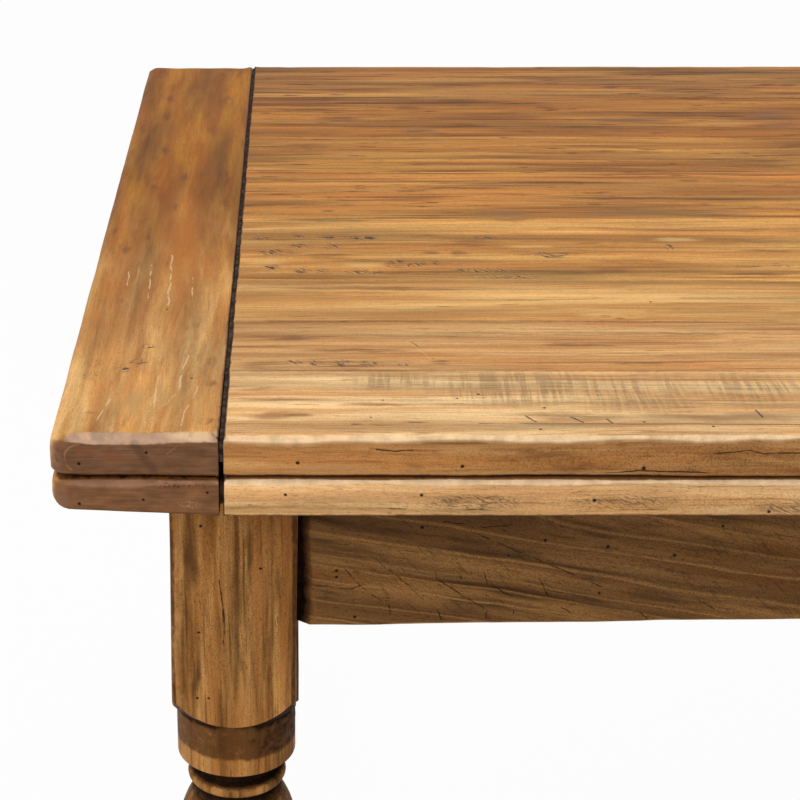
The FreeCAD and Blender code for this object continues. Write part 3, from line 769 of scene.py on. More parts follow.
def hairlines(axes, places, ink, strength=0.5, slant=1.0):
    """Fine slanted lines of uneven length: (middle, half sizes) each."""
    def mark(f, spots, streaks, colour, height):
        zone = within(f, place_of(f, spots, axes, 6.0, 14.0), places, 0.4)
        lean = (spots[0] + spots[1] * slant + (streaks(40, 20) - 0.5) * 9) / 3.0
        line = f.noise(f.vector(lean, (spots[0] - spots[1]) / 34, 0.0), 2.0)
        line = f.smooth(line, 0.60, 0.68) * zone
        return f.mix(colour, ink, line * strength), height - line
    return mark


def specks(axes, places, ink, strength=0.7, size=1.3):
    """Fine dark or pale specks: (middle, half sizes) each."""
    def mark(f, spots, streaks, colour, height):
        zone = within(f, place_of(f, spots, axes, 6.0, 14.0), places, 0.3)
        speck = f.smooth(even_noise(f, spots, size, 2.0), 0.52, 0.64) * zone
        return f.mix(colour, ink, speck * strength), height - speck * 0.6
    return mark


print("marks: torn grain, hairlines, specks")


# %% Saw marks and fading
def saw_marks(axes, places, ink, strength):
    """Upright stripes across the grain that a saw left: (middle, half sizes) each."""
    def mark(f, spots, streaks, colour, height):
        zone = within(f, place_of(f, spots, axes, 26.0, 34.0), places, 0.3)
        bow = (streaks(120, 60) - 0.5) * 6.0
        stripe = f.noise(f.vector((spots[0] + bow) / 3.4, spots[1] / 70.0, 0.0), 2.0, 0.6)
        broken = f.smooth(streaks(40, 3.0, 3.0), 0.38, 0.58)
        stripe = f.smooth(stripe, 0.40, 0.60) * (0.35 + 0.65 * broken)
        colour = f.mix(colour, ink, zone * strength * 0.4)
        return f.mix(colour, ink, stripe * zone * strength), height - stripe * zone * 0.5
    return mark


def fading(axes, axis, start, end, first, second):
    """The colour multiplied by one shade before the start and by another after the end."""
    def mark(f, spots, streaks, colour, height):
        blur = (streaks(90, 20) - 0.5) * abs(end - start) * 0.5
        share = f.smooth(spots[axes.index(axis)] + blur, start, end)
        return f.mix(colour, f.mix((*first, 1.0), (*second, 1.0), share), 1.0, "MULTIPLY"), height
    return mark


print("marks: saw marks, fading")

# %% [markdown]
# ## The looks of the woods
# All the pieces are pine, but each kind took the stain and the light in its own way: the top is golden,
# the breadboard ends are more orange, the leaves paler, the legs browner and the aprons dark olive.
# A look is a palette, a list of streak layers (tone, length, width, where it starts, where it is full,
# strength) and a few strengths.

# %% The look of the top
TOP_TONES = {"pale": tint(232, 190, 122), "body": tint(206, 153, 88), "amber": tint(202, 142, 76),
             "grey": tint(150, 118, 72), "brown": tint(128, 80, 38), "end": tint(112, 76, 50),
             "rubbed": tint(252, 215, 169)}
TOP_LAYERS = (("amber", 320, 30, 0.45, 0.70, 0.5), ("grey", 420, 10, 0.55, 0.73, 0.5),
              ("brown", 260, 5, 0.55, 0.74, 0.55), ("pale", 300, 6, 0.55, 0.75, 0.55),
              ("brown", 170, 1.7, 0.55, 0.74, 0.5), ("brown", 34, 3.4, 0.61, 0.73, 0.45))
TOP_LOOK = {
    "tones": TOP_TONES, "layers": TOP_LAYERS, "crust": (tint(24, 20, 19), tint(76, 65, 57)),
    "grain": (260, 16), "wave": 14.0, "quiver": 1.2, "tilt": 0.0, "contrast": 1.0, "bands": 1.4,
    "rings": 0.22, "growth_line": 0.0, "fibre": 0.8, "pores": 0.4, "grit": (1.3, 0.6),
    "end": 1.0, "rub": 0.9, "rough": 0.44, "bump": 0.5}


def altered(look, **changes):
    """A look with some values changed. Tones are changed one by one."""
    tones = {**look["tones"], **changes.pop("tones", {})}
    return {**look, **changes, "tones": tones}


def scaled(look, red, green, blue):
    """A look whose tones are multiplied by shares of red, green and blue. What is rubbed stays."""
    tones = {key: tuple(np.clip(np.multiply(tone, (red, green, blue, 1.0)), 0, 1).tolist())
             for key, tone in look["tones"].items() if key != "rubbed"}
    return altered(look, tones=tones)


print("the look of the top has", len(TOP_TONES), "tones and", len(TOP_LAYERS), "layers of streaks")

# %% Looks of the other pieces
# the dark crust of the legs and aprons, which also paints their deepest shade
DARK_CRUST_AND_SHADE = (tint(22, 13, 6), tint(42, 25, 11))
BREADBOARD_LOOK = altered(
    TOP_LOOK, bands=1.9, contrast=1.2, grain=(160, 15), rings=0.3, wave=22.0,
    layers=(("amber", 150, 16, 0.46, 0.68, 0.5), ("brown", 60, 12, 0.58, 0.76, 0.4),
            ("pale", 110, 7, 0.58, 0.76, 0.4), ("brown", 50, 1.6, 0.56, 0.78, 0.35)),
    tones={"pale": tint(216, 162, 94), "body": tint(190, 130, 66), "amber": tint(182, 110, 46),
           "brown": tint(120, 72, 34), "end": tint(130, 86, 54), "rubbed": tint(185, 144, 110)})
LEAF_LOOK = altered(
    TOP_LOOK, crust=(tint(16, 13, 12), tint(46, 38, 33)), rings=0.2, pores=0.5,
    tones={"pale": tint(250, 204, 144), "body": tint(231, 175, 115), "rubbed": tint(242, 208, 166)})
LEG_LOOK = scaled(altered(
    TOP_LOOK, grain=(210, 11), grit=(0.9, 0.9), crust=DARK_CRUST_AND_SHADE, contrast=1.5, rings=0.2, wave=10.0,
    fibre=0.75, pores=0.6, rough=0.46,
    layers=(("brown", 150, 12, 0.48, 0.68, 0.55), ("grey", 120, 8, 0.55, 0.73, 0.5),
            ("amber", 160, 14, 0.48, 0.68, 0.5), ("brown", 110, 2.6, 0.54, 0.74, 0.45),
            ("pale", 140, 7, 0.57, 0.75, 0.5)),
    tones={"pale": tint(206, 150, 86), "body": tint(178, 120, 62), "amber": tint(170, 109, 52),
           "grey": tint(112, 84, 52), "brown": tint(84, 50, 20), "rubbed": tint(190, 140, 86)}),
    0.95, 0.94, 0.92)
APRON_LOOK = scaled(altered(
    TOP_LOOK, grit=(0.9, 1.1), crust=DARK_CRUST_AND_SHADE, contrast=1.5, rings=0.6, growth_line=1.0, tilt=0.18,
    wave=26.0, quiver=3.0, fibre=0.7, pores=0.7, rough=0.55,
    layers=(("amber", 200, 22, 0.5, 0.72, 0.5), ("brown", 120, 14, 0.5, 0.7, 0.5),
            ("brown", 30, 3, 0.55, 0.75, 0.4)),
    tones={"pale": tint(172, 130, 78), "body": tint(138, 100, 58), "amber": tint(140, 92, 44),
           "grey": tint(112, 88, 58), "brown": tint(76, 54, 32), "rubbed": tint(176, 132, 84)}),
    0.77, 0.68, 0.62)
INNER_LOOK = altered(
    TOP_LOOK, rings=0.3, rough=0.55, board=(7.0, 0.0, 0.0), pith=(140.0, 380.0, 3.4),
    tones={"pale": tint(214, 178, 132), "body": tint(190, 150, 104)})
print("looks: top, breadboard, leaf, leg, apron, inner wood")

# %% [markdown]
# ## The boards of the top
# Eight planks lie side by side along the table, with tongues at their ends. They could be one slab with
# painted lines, but separate boards catch the light along every joint. Only the front and back planks
# have an open edge, rolled over by hands and sleeves. At the seams the ends are chipped and black, and
# old dirt fills the gap almost to the top.

# %% Sizes that the boards share
SEAM_GAP = 2.2
TONGUE, TONGUE_THICK, TONGUE_SETBACK = 19.0, 9.0, 2.0
PACKED_WIDTH, PACKED_DEPTH, PACKED_SETBACK = 2.1, 2.2, 1.2
JOINT = (0.5, 0.4)
SEAM_TOP, SEAM_BELOW = (1.9, 2.4), (1.2, 1.2)
CRISP, ROUND = 1.25, 2.0
FINE_STEP, MEDIUM_STEP, COARSE_STEP = 4.0, 5.0, 6.0

top_left_low, top_left_high = node_box("top_left_breadboard")
shoulder = -top_left_high[0] - SEAM_GAP
back_y = top_left_high[1]
print("boards reach to", round(shoulder, 1), "mm each way")


# %% Tongues and packed dirt
def end_box(x_from, way, length, y_range, setback, z_range):
    """The two corners of a box that sticks out of a board's end."""
    limit = back_y - setback
    y = np.clip(y_range, -limit, limit)
    x = sorted((x_from, x_from + way * length))
    return np.array([x[0], y[0], z_range[0]]), np.array([x[1], y[1], z_range[1]])


def tongue_box(x_from, way, y_range, z_range):
    """The two corners of a board's tongue."""
    middle, half = sum(z_range) / 2, TONGUE_THICK / 2
    return end_box(x_from, way, TONGUE, y_range, TONGUE_SETBACK, (middle - half, middle + half))


def packed_box(x_from, way, y_range, z_range):
    """The two corners of the old dirt that fills the seam at a board's end."""
    heights = sum(z_range) / 2, z_range[1] - PACKED_DEPTH
    return end_box(x_from, way, PACKED_WIDTH, y_range, PACKED_SETBACK, heights)


print("a tongue of a 30 mm board:", *tongue_box(0.0, 1, (0.0, 100.0), (0.0, 30.0)))

# %% A plank
WEAR_SEED_STEP = 31
UNDER_DIRT_AND_SHADE, UNDER_SHADE_HEIGHT = 0.62, 3.0
JOINT_DIRT, JOINT_DIRT_SWING, JOINT_DIRT_LENGTH, JOINT_DIRT_WIDTH = 0.3, 0.16, 150.0, 1.2
LEAF_GAP_SHADE, LEAF_GAP_SHADE_HEIGHTS, LEAF_GAP_SHADE_FADE = 0.56, (0.9, 0.4), (7, 40)
CHIP, CHIP_SWING, CHIP_LENGTH = 1.6, 0.9, 7.0


def board_marks(points, moved, faces, worn, low, high, seams):
    """Where a board is worn, dirty, in painted shade or cut across the grain. seams are its ends at a dark
    seam.
    """
    # dirt and painted shade along the lowest 3 mm of every board, for the dark line in the gap between the
    # slabs
    grime = UNDER_DIRT_AND_SHADE * (1 - ramp(points[:, 2] - low[2], 0.0, UNDER_SHADE_HEIGHT))
    for y in (low[1], high[1]):
        if abs(abs(y) - back_y) > 1:
            line = JOINT_DIRT + JOINT_DIRT_SWING * wander(int(abs(y)), points[:, 0], JOINT_DIRT_LENGTH)
            grime = np.maximum(grime, line * (1 - ramp(np.abs(points[:, 1] - y), 0.0, JOINT_DIRT_WIDTH)))
    # painted shade on the upper face of a leaf near its front and back edges, where the top hangs over it
    if high[2] < top_left_low[2]:
        upper = ramp(moved[:, 2], *(high[2] - h for h in LEAF_GAP_SHADE_HEIGHTS))
        inset = back_y - np.abs(points[:, 1])
        grime = np.maximum(grime, LEAF_GAP_SHADE * upper * (1 - ramp(inset, *LEAF_GAP_SHADE_FADE)))
    for x, way in seams:
        behind = (x - points[:, 0]) * way
        chips = CHIP + CHIP_SWING * wander(int(abs(low[1])) + 3, points[:, 1], CHIP_LENGTH)
        grime = np.maximum(grime, 1 - ramp(behind, 0.3 * chips, chips + 0.5))
    return {"worn": worn, "grime": np.clip(grime, 0, 1), "end": end_grain(moved, faces, 0)}


def plank(name, low, high, seams, board, body, front_edges, steps, roundness):
    """One long board with tongues at its seams. board is its seed and so on, and its pith."""
    edges = {}
    for s, y in ((-1, low[1]), (1, high[1])):
        outer = abs(abs(y) - back_y) < 1
        edges[(1, 1, s)], edges[(-1, 1, s)] = front_edges if outer else (JOINT, JOINT)
    for x, way in seams:
        edges[(1, 0, way)], edges[(-1, 0, way)] = SEAM_TOP, SEAM_BELOW
    spans = (low[1], high[1]), (low[2], high[2])
    added = [box(x, way, *spans) for x, way in seams for box in (tongue_box, packed_box)]
    points, moved, faces, worn = worn_block(low, high, 2, edges, int(board[0][0]) * WEAR_SEED_STEP, steps,
                                            roundness=roundness, add=added)
    marks = board_marks(points, moved, faces, worn, low, high, seams)
    return make_piece(name, moved, faces, marks, board, body, [name])


print("chips at the seams are about", CHIP, "mm deep")

# %% [markdown]
# The planks came from different logs. Each has a seed, a tone, a little extra amber, and a pith that lies
# beside it (fine straight grain) or under it (broad flames).

# %% The eight planks
TOP_PLANKS = (
    (3, 0.09, 0.00, -240.0, -60.0, 2.9),
    (5, -0.05, 0.06, 60.0, -150.0, 3.6),
    (8, 0.02, 0.10, -40.0, -210.0, 4.4),
    (11, 0.00, 0.04, 90.0, -110.0, 3.9),
    (14, -0.06, 0.08, -70.0, -130.0, 4.0),
    (17, -0.02, 0.02, 20.0, -90.0, 4.2),
    (21, -0.08, 0.06, -120.0, -100.0, 3.8),
    (26, -0.05, 0.04, 50.0, -170.0, 4.4),
)
TOP_EDGES = ((3.6, 6.0), (3.2, 3.2))


def board_facts(facts, middle):
    """A board's table row as the two vectors that its mesh carries."""
    seed, tone, amber, beside, below, ring = facts
    return (seed, tone, amber), (middle[0] + beside, middle[1] + below, ring)


for number, facts in enumerate(TOP_PLANKS, 1):
    name = f"top_board_{number}"
    low, high = node_box(name)
    low[0], high[0] = -shoulder, shoulder
    steps = (FINE_STEP if number == 1 else COARSE_STEP, MEDIUM_STEP, MEDIUM_STEP)
    board = board_facts(facts, ((low[1] + high[1]) / 2, low[2]))
    plank(name, low, high, [(-shoulder, -1), (shoulder, 1)], board, "top",
          TOP_EDGES, steps, CRISP)
print("planks of the top:", sum(len(o.data.polygons) for o in made.values()), "quads")

# %% [markdown]
# ## Breadboard ends
# A board across the ends keeps the planks flat. Its grain runs across the table, its corners are rounded
# like a bar of soap, its outer end leans in like a flattened bullnose, and its front edge has a broad
# soft bevel. A modifier would round all of its edges alike. A groove takes the tongues of the planks.

# %% Groove and marks of a breadboard end
SEAM_BEVEL, PALE_LINE = (3.2, 1.2), 0.6
GROOVE_SPARE, GROOVE_OPENING = 1.5, 5
GROOVE_LIMIT = back_y - TONGUE_SETBACK + 0.3
GROOVE_HALF = TONGUE_THICK / 2 + 0.15
END_GAP_SHADE, END_GAP_SHADE_HEIGHTS = 0.68, (1.6, 0.7)


def groove_box(inner_x, sign, middle):
    """The two corners of the groove that takes the tongues."""
    reach = inner_x + sign * (TONGUE - SEAM_GAP + GROOVE_SPARE)
    x = sorted((inner_x - sign * GROOVE_OPENING, reach))
    return (np.array([x[0], -GROOVE_LIMIT, middle - GROOVE_HALF]),
            np.array([x[1], GROOVE_LIMIT, middle + GROOVE_HALF]))


def breadboard_marks(points, moved, faces, worn, inside, low, high):
    """Where a breadboard end is worn, dirty or in painted shade. inside is the distance from its seam."""
    wide, sunk = high[0] - low[0], high[2] - points[:, 2]
    wall = (1 - ramp(inside, 0.2, 1.4)) * ramp(sunk, 0.4, 2.0)
    pale = np.exp(-((inside - SEAM_BEVEL[0]) / PALE_LINE) ** 2) * (sunk < 0.3)
    front = 1 - ramp(np.minimum(points[:, 1] - low[1], high[1] - points[:, 1]), 7.0, 16.0)
    worn = np.maximum(worn * (0.3 + 0.7 * front) * ramp(wide - inside, 5, 17), 0.25 * pale)
    middle = (low[2] + high[2]) / 2
    deep = (np.abs(points[:, 2] - middle) < GROOVE_HALF + 0.1) & (inside < 20)
    deep &= np.abs(points[:, 1]) < GROOVE_LIMIT + 1
    # dirt and painted shade along the lowest 3.2 mm of the breadboard end
    below = 0.7 * (1 - ramp(points[:, 2] - low[2], 0.0, 3.2))
    # painted shade on a leaf's breadboard end near its edges, where the top hangs over it
    inset = np.minimum(back_y - np.abs(points[:, 1]), wide - inside)
    upper = ramp(moved[:, 2], *(high[2] - h for h in END_GAP_SHADE_HEIGHTS))
    above = END_GAP_SHADE * (high[2] < top_left_low[2]) * upper * (1 - ramp(inset, *LEAF_GAP_SHADE_FADE))
    grime = np.clip(np.maximum.reduce([wall, deep * 1.0, below, above]), 0, 1)
    return {"worn": worn, "grime": grime, "end": end_grain(moved, faces, 1)}


print("the groove is", round(2 * GROOVE_HALF, 1), "mm high")


# %% Breadboard ends of the top
def breadboard(name, sign, facts, body, upper, lower, rise, bow, corner_radius, roundness):
    """A grooved cross piece.

    rise says how far its underside climbs evenly and at its outer end, and bow how far that end leans in
    above and below.
    """
    low, high = node_box(name)
    inner_x = high[0] if sign < 0 else low[0]
    board = board_facts(facts, ((low[0] + high[0]) / 2, low[2]))
    edges = {(1, 0, sign): upper["end"], (-1, 0, sign): lower["end"],
             (1, 0, -sign): SEAM_BEVEL, (-1, 0, -sign): SEAM_BELOW,
             (1, 1, -1): upper["front"], (1, 1, 1): upper["front"],
             (-1, 1, -1): lower["front"], (-1, 1, 1): lower["front"]}
    points, moved, faces, worn = worn_block(
        low, high, 2, edges, int(board[0][0]) * WEAR_SEED_STEP, (FINE_STEP, MEDIUM_STEP, FINE_STEP),
        corner={(sign, -1): corner_radius, (sign, 1): corner_radius}, roundness=roundness, hollow=0.5,
        cut=[groove_box(inner_x, sign, (low[2] + high[2]) / 2)])
    inside = np.abs(points[:, 0] - inner_x)
    share = inside / (high[0] - low[0])
    climb = rise[0] * share + rise[1] * share ** 8
    height = 2 * (points[:, 2] - low[2]) / (high[2] - low[2]) - 1
    moved[:, 2] += climb * ((1 - height) / 2) ** 2
    moved[:, 0] -= sign * np.where(height > 0, *bow) * height ** 2 * share ** 6
    marks = breadboard_marks(points, moved, faces, worn, inside, low, high)
    return make_piece(name, moved, faces, marks, board, body, [name])


TOP_UPPER = {"front": (7.0, 5.0), "end": (6.0, 4.0)}
TOP_LOWER = {"front": (3.2, 3.2), "end": (2.6, 2.6)}
for sign, side, facts in ((-1, "left", (31, 0.0, 0.0, 40.0, -120.0, 4.6)),
                          (1, "right", (34, -0.03, 0.0, -30.0, -90.0, 4.2))):
    breadboard(f"top_{side}_breadboard", sign, facts, "top", TOP_UPPER, TOP_LOWER,
               (0.6, 0.6), (2.4, 0.2), 11.0, CRISP)
print("a breadboard end has", len(made["top_left_breadboard"].data.polygons), "quads")

# %% [markdown]
# ## Pull-out leaves and the boards between them
# Under the top lie two leaves of nearly the same thickness, and fixed boards between them. Their front
# edges show as a second slab. They are made as the top is, from the same two functions. The outer lower
# corner of a leaf is where fingers pull, so it is rounded most.

# %% Leaves
LEAF_EDGES = ((4.6, 4.4), (2.0, 2.0))
LEAF_UPPER = {"front": (6.5, 5.6), "end": (3.5, 3.5)}
LEAF_LOWER = {"front": (2.0, 2.0), "end": (14.0, 10.5)}
LEAF_PLANKS = ((41, 0.05, 0.0, -200.0, -50.0, 2.8), (44, -0.03, 0.05, 50.0, -120.0, 3.8),
               (47, 0.00, 0.0, -40.0, -160.0, 4.2), (52, -0.05, 0.08, 80.0, -100.0, 3.6),
               (55, 0.02, 0.0, -90.0, -140.0, 4.0), (58, -0.04, 0.05, 30.0, -110.0, 4.3),
               (61, 0.00, 0.03, 150.0, -60.0, 3.2))

for sign, side, extra in ((-1, "left", 0), (1, "right", 30)):
    for number, facts in enumerate(LEAF_PLANKS, 1):
        name = f"{side}_leaf_board_{number}"
        low, high = node_box(name)
        low[0], high[0] = (-shoulder, high[0]) if sign < 0 else (low[0], shoulder)
        facts = (facts[0] + extra, *facts[1:])
        steps = (FINE_STEP if number == 1 else COARSE_STEP, COARSE_STEP, MEDIUM_STEP)
        board = board_facts(facts, ((low[1] + high[1]) / 2, low[2]))
        plank(name, low, high, [(sign * shoulder, sign)], board, f"{side}_leaf",
              LEAF_EDGES, steps, ROUND)
    breadboard(f"{side}_leaf_breadboard", sign, (37 + extra, 0.0, 0.0, 30.0, -100.0, 4.4),
               f"{side}_leaf", LEAF_UPPER, LEAF_LOWER, (4.9, 0.8), (0.6, 0.0), 12.0, ROUND)
print("pieces of the leaves:", sum("leaf" in name for name in made))

# %% Centre boards
CENTRE_SHARES = np.cumsum([0.0, 0.155, 0.135, 0.150, 0.128, 0.160, 0.132, 0.140])
CENTRE_SEED = 700
PEG_HOLE, PEG_PLACES = 11.0, ((0.0, -120.0), (0.0, 120.0))
HOLE_RINGS = (0.0, 0.5, 1.0, 1.4, 1.9, 2.4)


def rounded_hole(points, place):
    """Points moved so that a square hole becomes a round one."""
    apart = points[:, :2] - place
    square = np.abs(apart).max(axis=1)
    share = 1 - ramp(square, PEG_HOLE, HOLE_RINGS[-1] * PEG_HOLE)
    shrink = square / np.maximum(np.hypot(apart[:, 0], apart[:, 1]), TINY)
    points[:, :2] = place + apart * (1 + (shrink - 1) * share)[:, None]


def centre_board(low, high, number):
    """One fixed board between the leaves, with a hole where a peg of the top drops through it."""
    outer = {-1: number == 0, 1: number == len(CENTRE_SHARES) - 2}
    edges = {}
    for s in (-1, 1):
        edges[(1, 1, s)], edges[(-1, 1, s)] = LEAF_EDGES if outer[s] else (JOINT, JOINT)
    pegs = [np.array(p) for p in PEG_PLACES if low[1] < p[1] < high[1]]
    guides = [(*(p + s * r * PEG_HOLE), high[2]) for p in pegs for r in HOLE_RINGS for s in (-1, 1)]
    cut = [(np.array([*(p - PEG_HOLE), low[2] - 1]), np.array([*(p + PEG_HOLE), high[2] + 1]))
           for p in pegs]
    points, moved, faces, worn = worn_block(
        low, high, 2, edges, CENTRE_SEED + WEAR_SEED_STEP * number, (COARSE_STEP, COARSE_STEP, MEDIUM_STEP),
        cut=cut, guides=guides)
    for peg in pegs:
        rounded_hole(moved, peg)
    return moved, faces, board_marks(points, moved, faces, worn, low, high, [])


low, high = node_box("centre_boards")
boards, count = [], 0
for number in range(len(CENTRE_SHARES) - 1):
    b_low, b_high = low.copy(), high.copy()
    b_low[1], b_high[1] = low[1] + CENTRE_SHARES[number:number + 2] * (high[1] - low[1])
    points, faces, marks = centre_board(b_low, b_high, number)
    boards.append((points, faces + count, marks))
    count += len(points)
points, faces = (np.concatenate([b[k] for b in boards]) for k in range(2))
marks = {key: np.concatenate([b[2][key] for b in boards]) for key in boards[0][2]}
centre = make_piece("centre_boards", points, faces, marks, ((73, 0.02, 0.0), (-560.0, 600.0, 3.4)),
                    "frame", ["centre_boards"])
print("centre boards:", len(centre.data.polygons), "quads")

# %% [markdown]
# ## Turned legs
# Each leg is one square length, turned round between its blocks. A screw modifier makes the round part
# but not the shoulder where the square stops, so the leg is a loft: every column of points runs down
# the block, meets the turned outline exactly where the lathe cut into the square, and follows it on.

# %% The turned outline
HALF_LEG = 44.5
LINE_STEP, ARC_STEP = 5, 3
FRAME_TOP = node_box("front_left_leg")[1][2]
BLOCK_HEIGHT, LOW_BLOCK_TOP, FOOT_TOP = 175.0, 165.0, 70.0
BLOCK_BOTTOM = FRAME_TOP - BLOCK_HEIGHT
# share of the stretch from its top, share of half the leg's width, bulge of the run that ends there
SHAFT = ((0.000, 1.385, 0.00), (0.062, 0.985, 0.05), (0.176, 0.985, 0.00), (0.182, 0.90, 0.00),
         (0.208, 0.66, -0.16), (0.216, 0.66, 0.00), (0.220, 0.74, 0.00), (0.246, 0.74, 0.40),
         (0.252, 0.62, 0.00), (0.430, 0.93, 0.13), (0.620, 0.72, 0.10), (0.800, 0.52, -0.08),
         (0.806, 0.60, 0.00), (0.838, 0.60, 0.42), (0.846, 0.52, 0.00), (0.890, 0.66, -0.16),
         (0.896, 0.80, 0.00), (0.936, 0.80, 0.34), (0.944, 0.93, 0.00), (1.000, 1.43, 0.14))
FOOT = ((0.00, 1.43, 0.00), (0.18, 0.93, 0.18), (0.22, 0.78, 0.00), (0.38, 0.62, -0.22),
        (0.42, 0.70, 0.00), (0.96, 0.72, 0.24), (1.00, 0.66, 0.00))


def run_points(start, end, bulge):
    """Points (z, r) of one run after its start: a straight line, or an arc that bulges outward."""
    chord = end - start
    length = np.hypot(*chord)
    if not bulge:
        return start + np.linspace(0, 1, max(2, int(length / LINE_STEP) + 1))[1:, None] * chord
    half = 2 * math.atan(2 * bulge)
    count = max(8, int(length / ARC_STEP))
    turn = np.linspace(-half, half, count + 1)[1:]
    radius = length / (2 * math.sin(half))
    forward = chord / length
    outward = np.array([forward[1], -forward[0]])
    away = radius * (np.cos(turn) - math.cos(half))
    return start + (radius * np.sin(turn) + length / 2)[:, None] * forward + away[:, None] * outward


def outline(top, stretch, shares):
    """The runs of a turned outline, each a list of (z, r) points."""
    stations = [np.array([top - z * stretch, r * HALF_LEG]) for z, r, _ in shares]
    runs = []
    for k in range(len(shares) - 1):
        rest = run_points(stations[k], stations[k + 1], shares[k + 1][2])
        runs.append(np.concatenate([stations[k:k + 1], rest]))
    return runs


shaft = outline(BLOCK_BOTTOM, BLOCK_BOTTOM - LOW_BLOCK_TOP, SHAFT)
foot = outline(FOOT_TOP, FOOT_TOP, FOOT)
widest = max(run[:, 1].max() for run in shaft[1:-1])
print("the turning is at most", round(2 * widest, 1), "mm across in a leg of", 2 * HALF_LEG)

# %% [markdown]
# The four chamfers of a block wander a little in width, as a drawknife leaves them, and settle to their
# true width at the shoulder so that the curve between square and round stays crisp.

# %% The square section and the shoulders
CHAMFER, CHAMFER_BOW = 4.0, 0.12
FLAT_COLUMNS = np.linspace(-1, 1, 15)
CHAMFER_COLUMNS = np.array([0.25, 0.5, 0.75])
COLUMNS = [(quarter, share, on_chamfer) for quarter in range(4)
           for on_chamfer, shares in ((False, FLAT_COLUMNS), (True, CHAMFER_COLUMNS)) for share in shares]
SHOULDER_ROWS = 8


def section(chamfer, dip, column):
    """A point of the square section: column is (quarter, share along the flat or chamfer, on chamfer)."""
    quarter, share, on_chamfer = column
    if on_chamfer:
        bow = CHAMFER_BOW * chamfer * math.sin(math.pi * share)
        point = np.array([HALF_LEG - chamfer * share + bow, HALF_LEG - chamfer * (1 - share) + bow])
    else:
        point = np.array([HALF_LEG - dip, share * (HALF_LEG - chamfer)])
    for _ in range(quarter):
        point = np.array([-point[1], point[0]])
    return point


def heights(run, radii):
    """The heights at which a run of the outline has some radii."""
    order = np.argsort(run[:, 1])
    return np.interp(radii, run[order, 1], run[order, 0])


def shoulder_rows(run, start, end):
    """Points (z, r) of a run from one radius to another."""
    radii = np.linspace(start, end, SHOULDER_ROWS + 1)
    return list(zip(heights(run, radii), radii))


print("a leg has", len(COLUMNS), "columns of points")

# %% A row of a square block
SETTLE, CHAMFER_SWING, CHAMFER_WAVE = 14, 0.4, 38.0
FACE_DIP, FACE_WAVE, FACE_TURN = 0.5, 60, 1.7
# painted shade on the chamfers and at the top of the leg under the top
CHAMFER_SHADE, LEG_TOP_SHADE, LEG_TOP_SHADE_HEIGHT = 0.4, 0.55, 7
TURNED_WEAR, STRIP_WEAR = 0.2, 0.65


def block_row(column, seed, z, top, bottom, first):
    """Point, wear, and dirt with painted shade of one column of a block at a height. first is the block
    under the top.
    """
    quarter, share, on_chamfer = column
    settle = float(ramp(z - bottom, 0, SETTLE) * (1 if first else ramp(top - z, 0, SETTLE)))
    swing = float(wander(seed + quarter, z, CHAMFER_WAVE))
    hollow = ripple(seed + quarter, np.array([z / FACE_WAVE]), np.array([share * FACE_TURN]))[0]
    width = CHAMFER * (1 + CHAMFER_SWING * settle * swing)
    point = section(width, FACE_DIP * settle * (0.5 + 0.5 * float(hollow)), column)
    strip = STRIP_WEAR * float(ramp(-share, 0.8, 0.95)) * (quarter == 3 and not on_chamfer)
    worn = max(strip, TURNED_WEAR * (1 - settle) * (z < top - 20))
    # painted shade: the top of the leg just under the top, and every chamfer, are darkened through the dirt
    # number
    dirt = LEG_TOP_SHADE * float(1 - ramp(top - z, 0, LEG_TOP_SHADE_HEIGHT)) if first else 0.0
    return (*point, z), worn, max(dirt, CHAMFER_SHADE * on_chamfer)


print("a chamfer is", CHAMFER, "mm wide, give or take", CHAMFER_SWING * CHAMFER, "mm")

# %% The columns of a leg
BLOCK_ROWS, DARKENED_NECK_ROWS = 26, 6
# dirt and painted shade under the square block, and painted shade on the right side of the neck
SHOULDER_DIRT_AND_SHADE, NECK_DIRT_AND_SHADE, NECK_RIGHT_SIDE_SHADE = 0.62, 0.48, 0.18


def leg_column(column, seed):
    """Points, wear, and dirt with painted shade of one column of a leg, from its top down."""
    nominal = section(CHAMFER, 0.0, column)
    reach = np.hypot(*nominal)
    way = nominal / reach
    cuts = [float(heights(run, reach)) for run in (shaft[0], shaft[-1], foot[0])]

    def block(top, bottom, count, first):
        return [block_row(column, seed, z, top, bottom, first) for z in np.linspace(top, bottom, count + 1)]

    def turned(points, dirt=0.0):
        return [((*(way * r), z), TURNED_WEAR, dirt) for z, r in points]

    # painted shade: the right side of the shoulder and neck is darkened, on top of the dirt and painted
    # shade under the block
    shade = NECK_RIGHT_SIDE_SHADE * float(ramp(way[0], 0.0, 0.6))
    rows = block(FRAME_TOP, cuts[0], BLOCK_ROWS, True)
    rows += turned(shoulder_rows(shaft[0], reach, shaft[0][-1, 1])[1:], SHOULDER_DIRT_AND_SHADE + shade)
    rows += turned(shaft[1][1:DARKENED_NECK_ROWS], NECK_DIRT_AND_SHADE + shade)
    rows += turned(shaft[1][DARKENED_NECK_ROWS:])
    for run in shaft[2:-1]:
        rows += turned(run[1:])
    rows += turned(shoulder_rows(shaft[-1], shaft[-1][0, 1], reach)[1:-1])
    rows += block(cuts[1], cuts[2], BLOCK_ROWS // 2, False)
    rows += turned(shoulder_rows(foot[0], reach, foot[0][-1, 1])[1:])
    for run in foot[1:]:
        rows += turned(run[1:])
    return [np.array(values) for values in zip(*rows)]


print("a column has", len(leg_column(COLUMNS[0], 1)[0]), "points")

# %% Dirt in the turning and closed ends
RECESS_REACH, RECESS_DEPTH = 5.5, 4.5


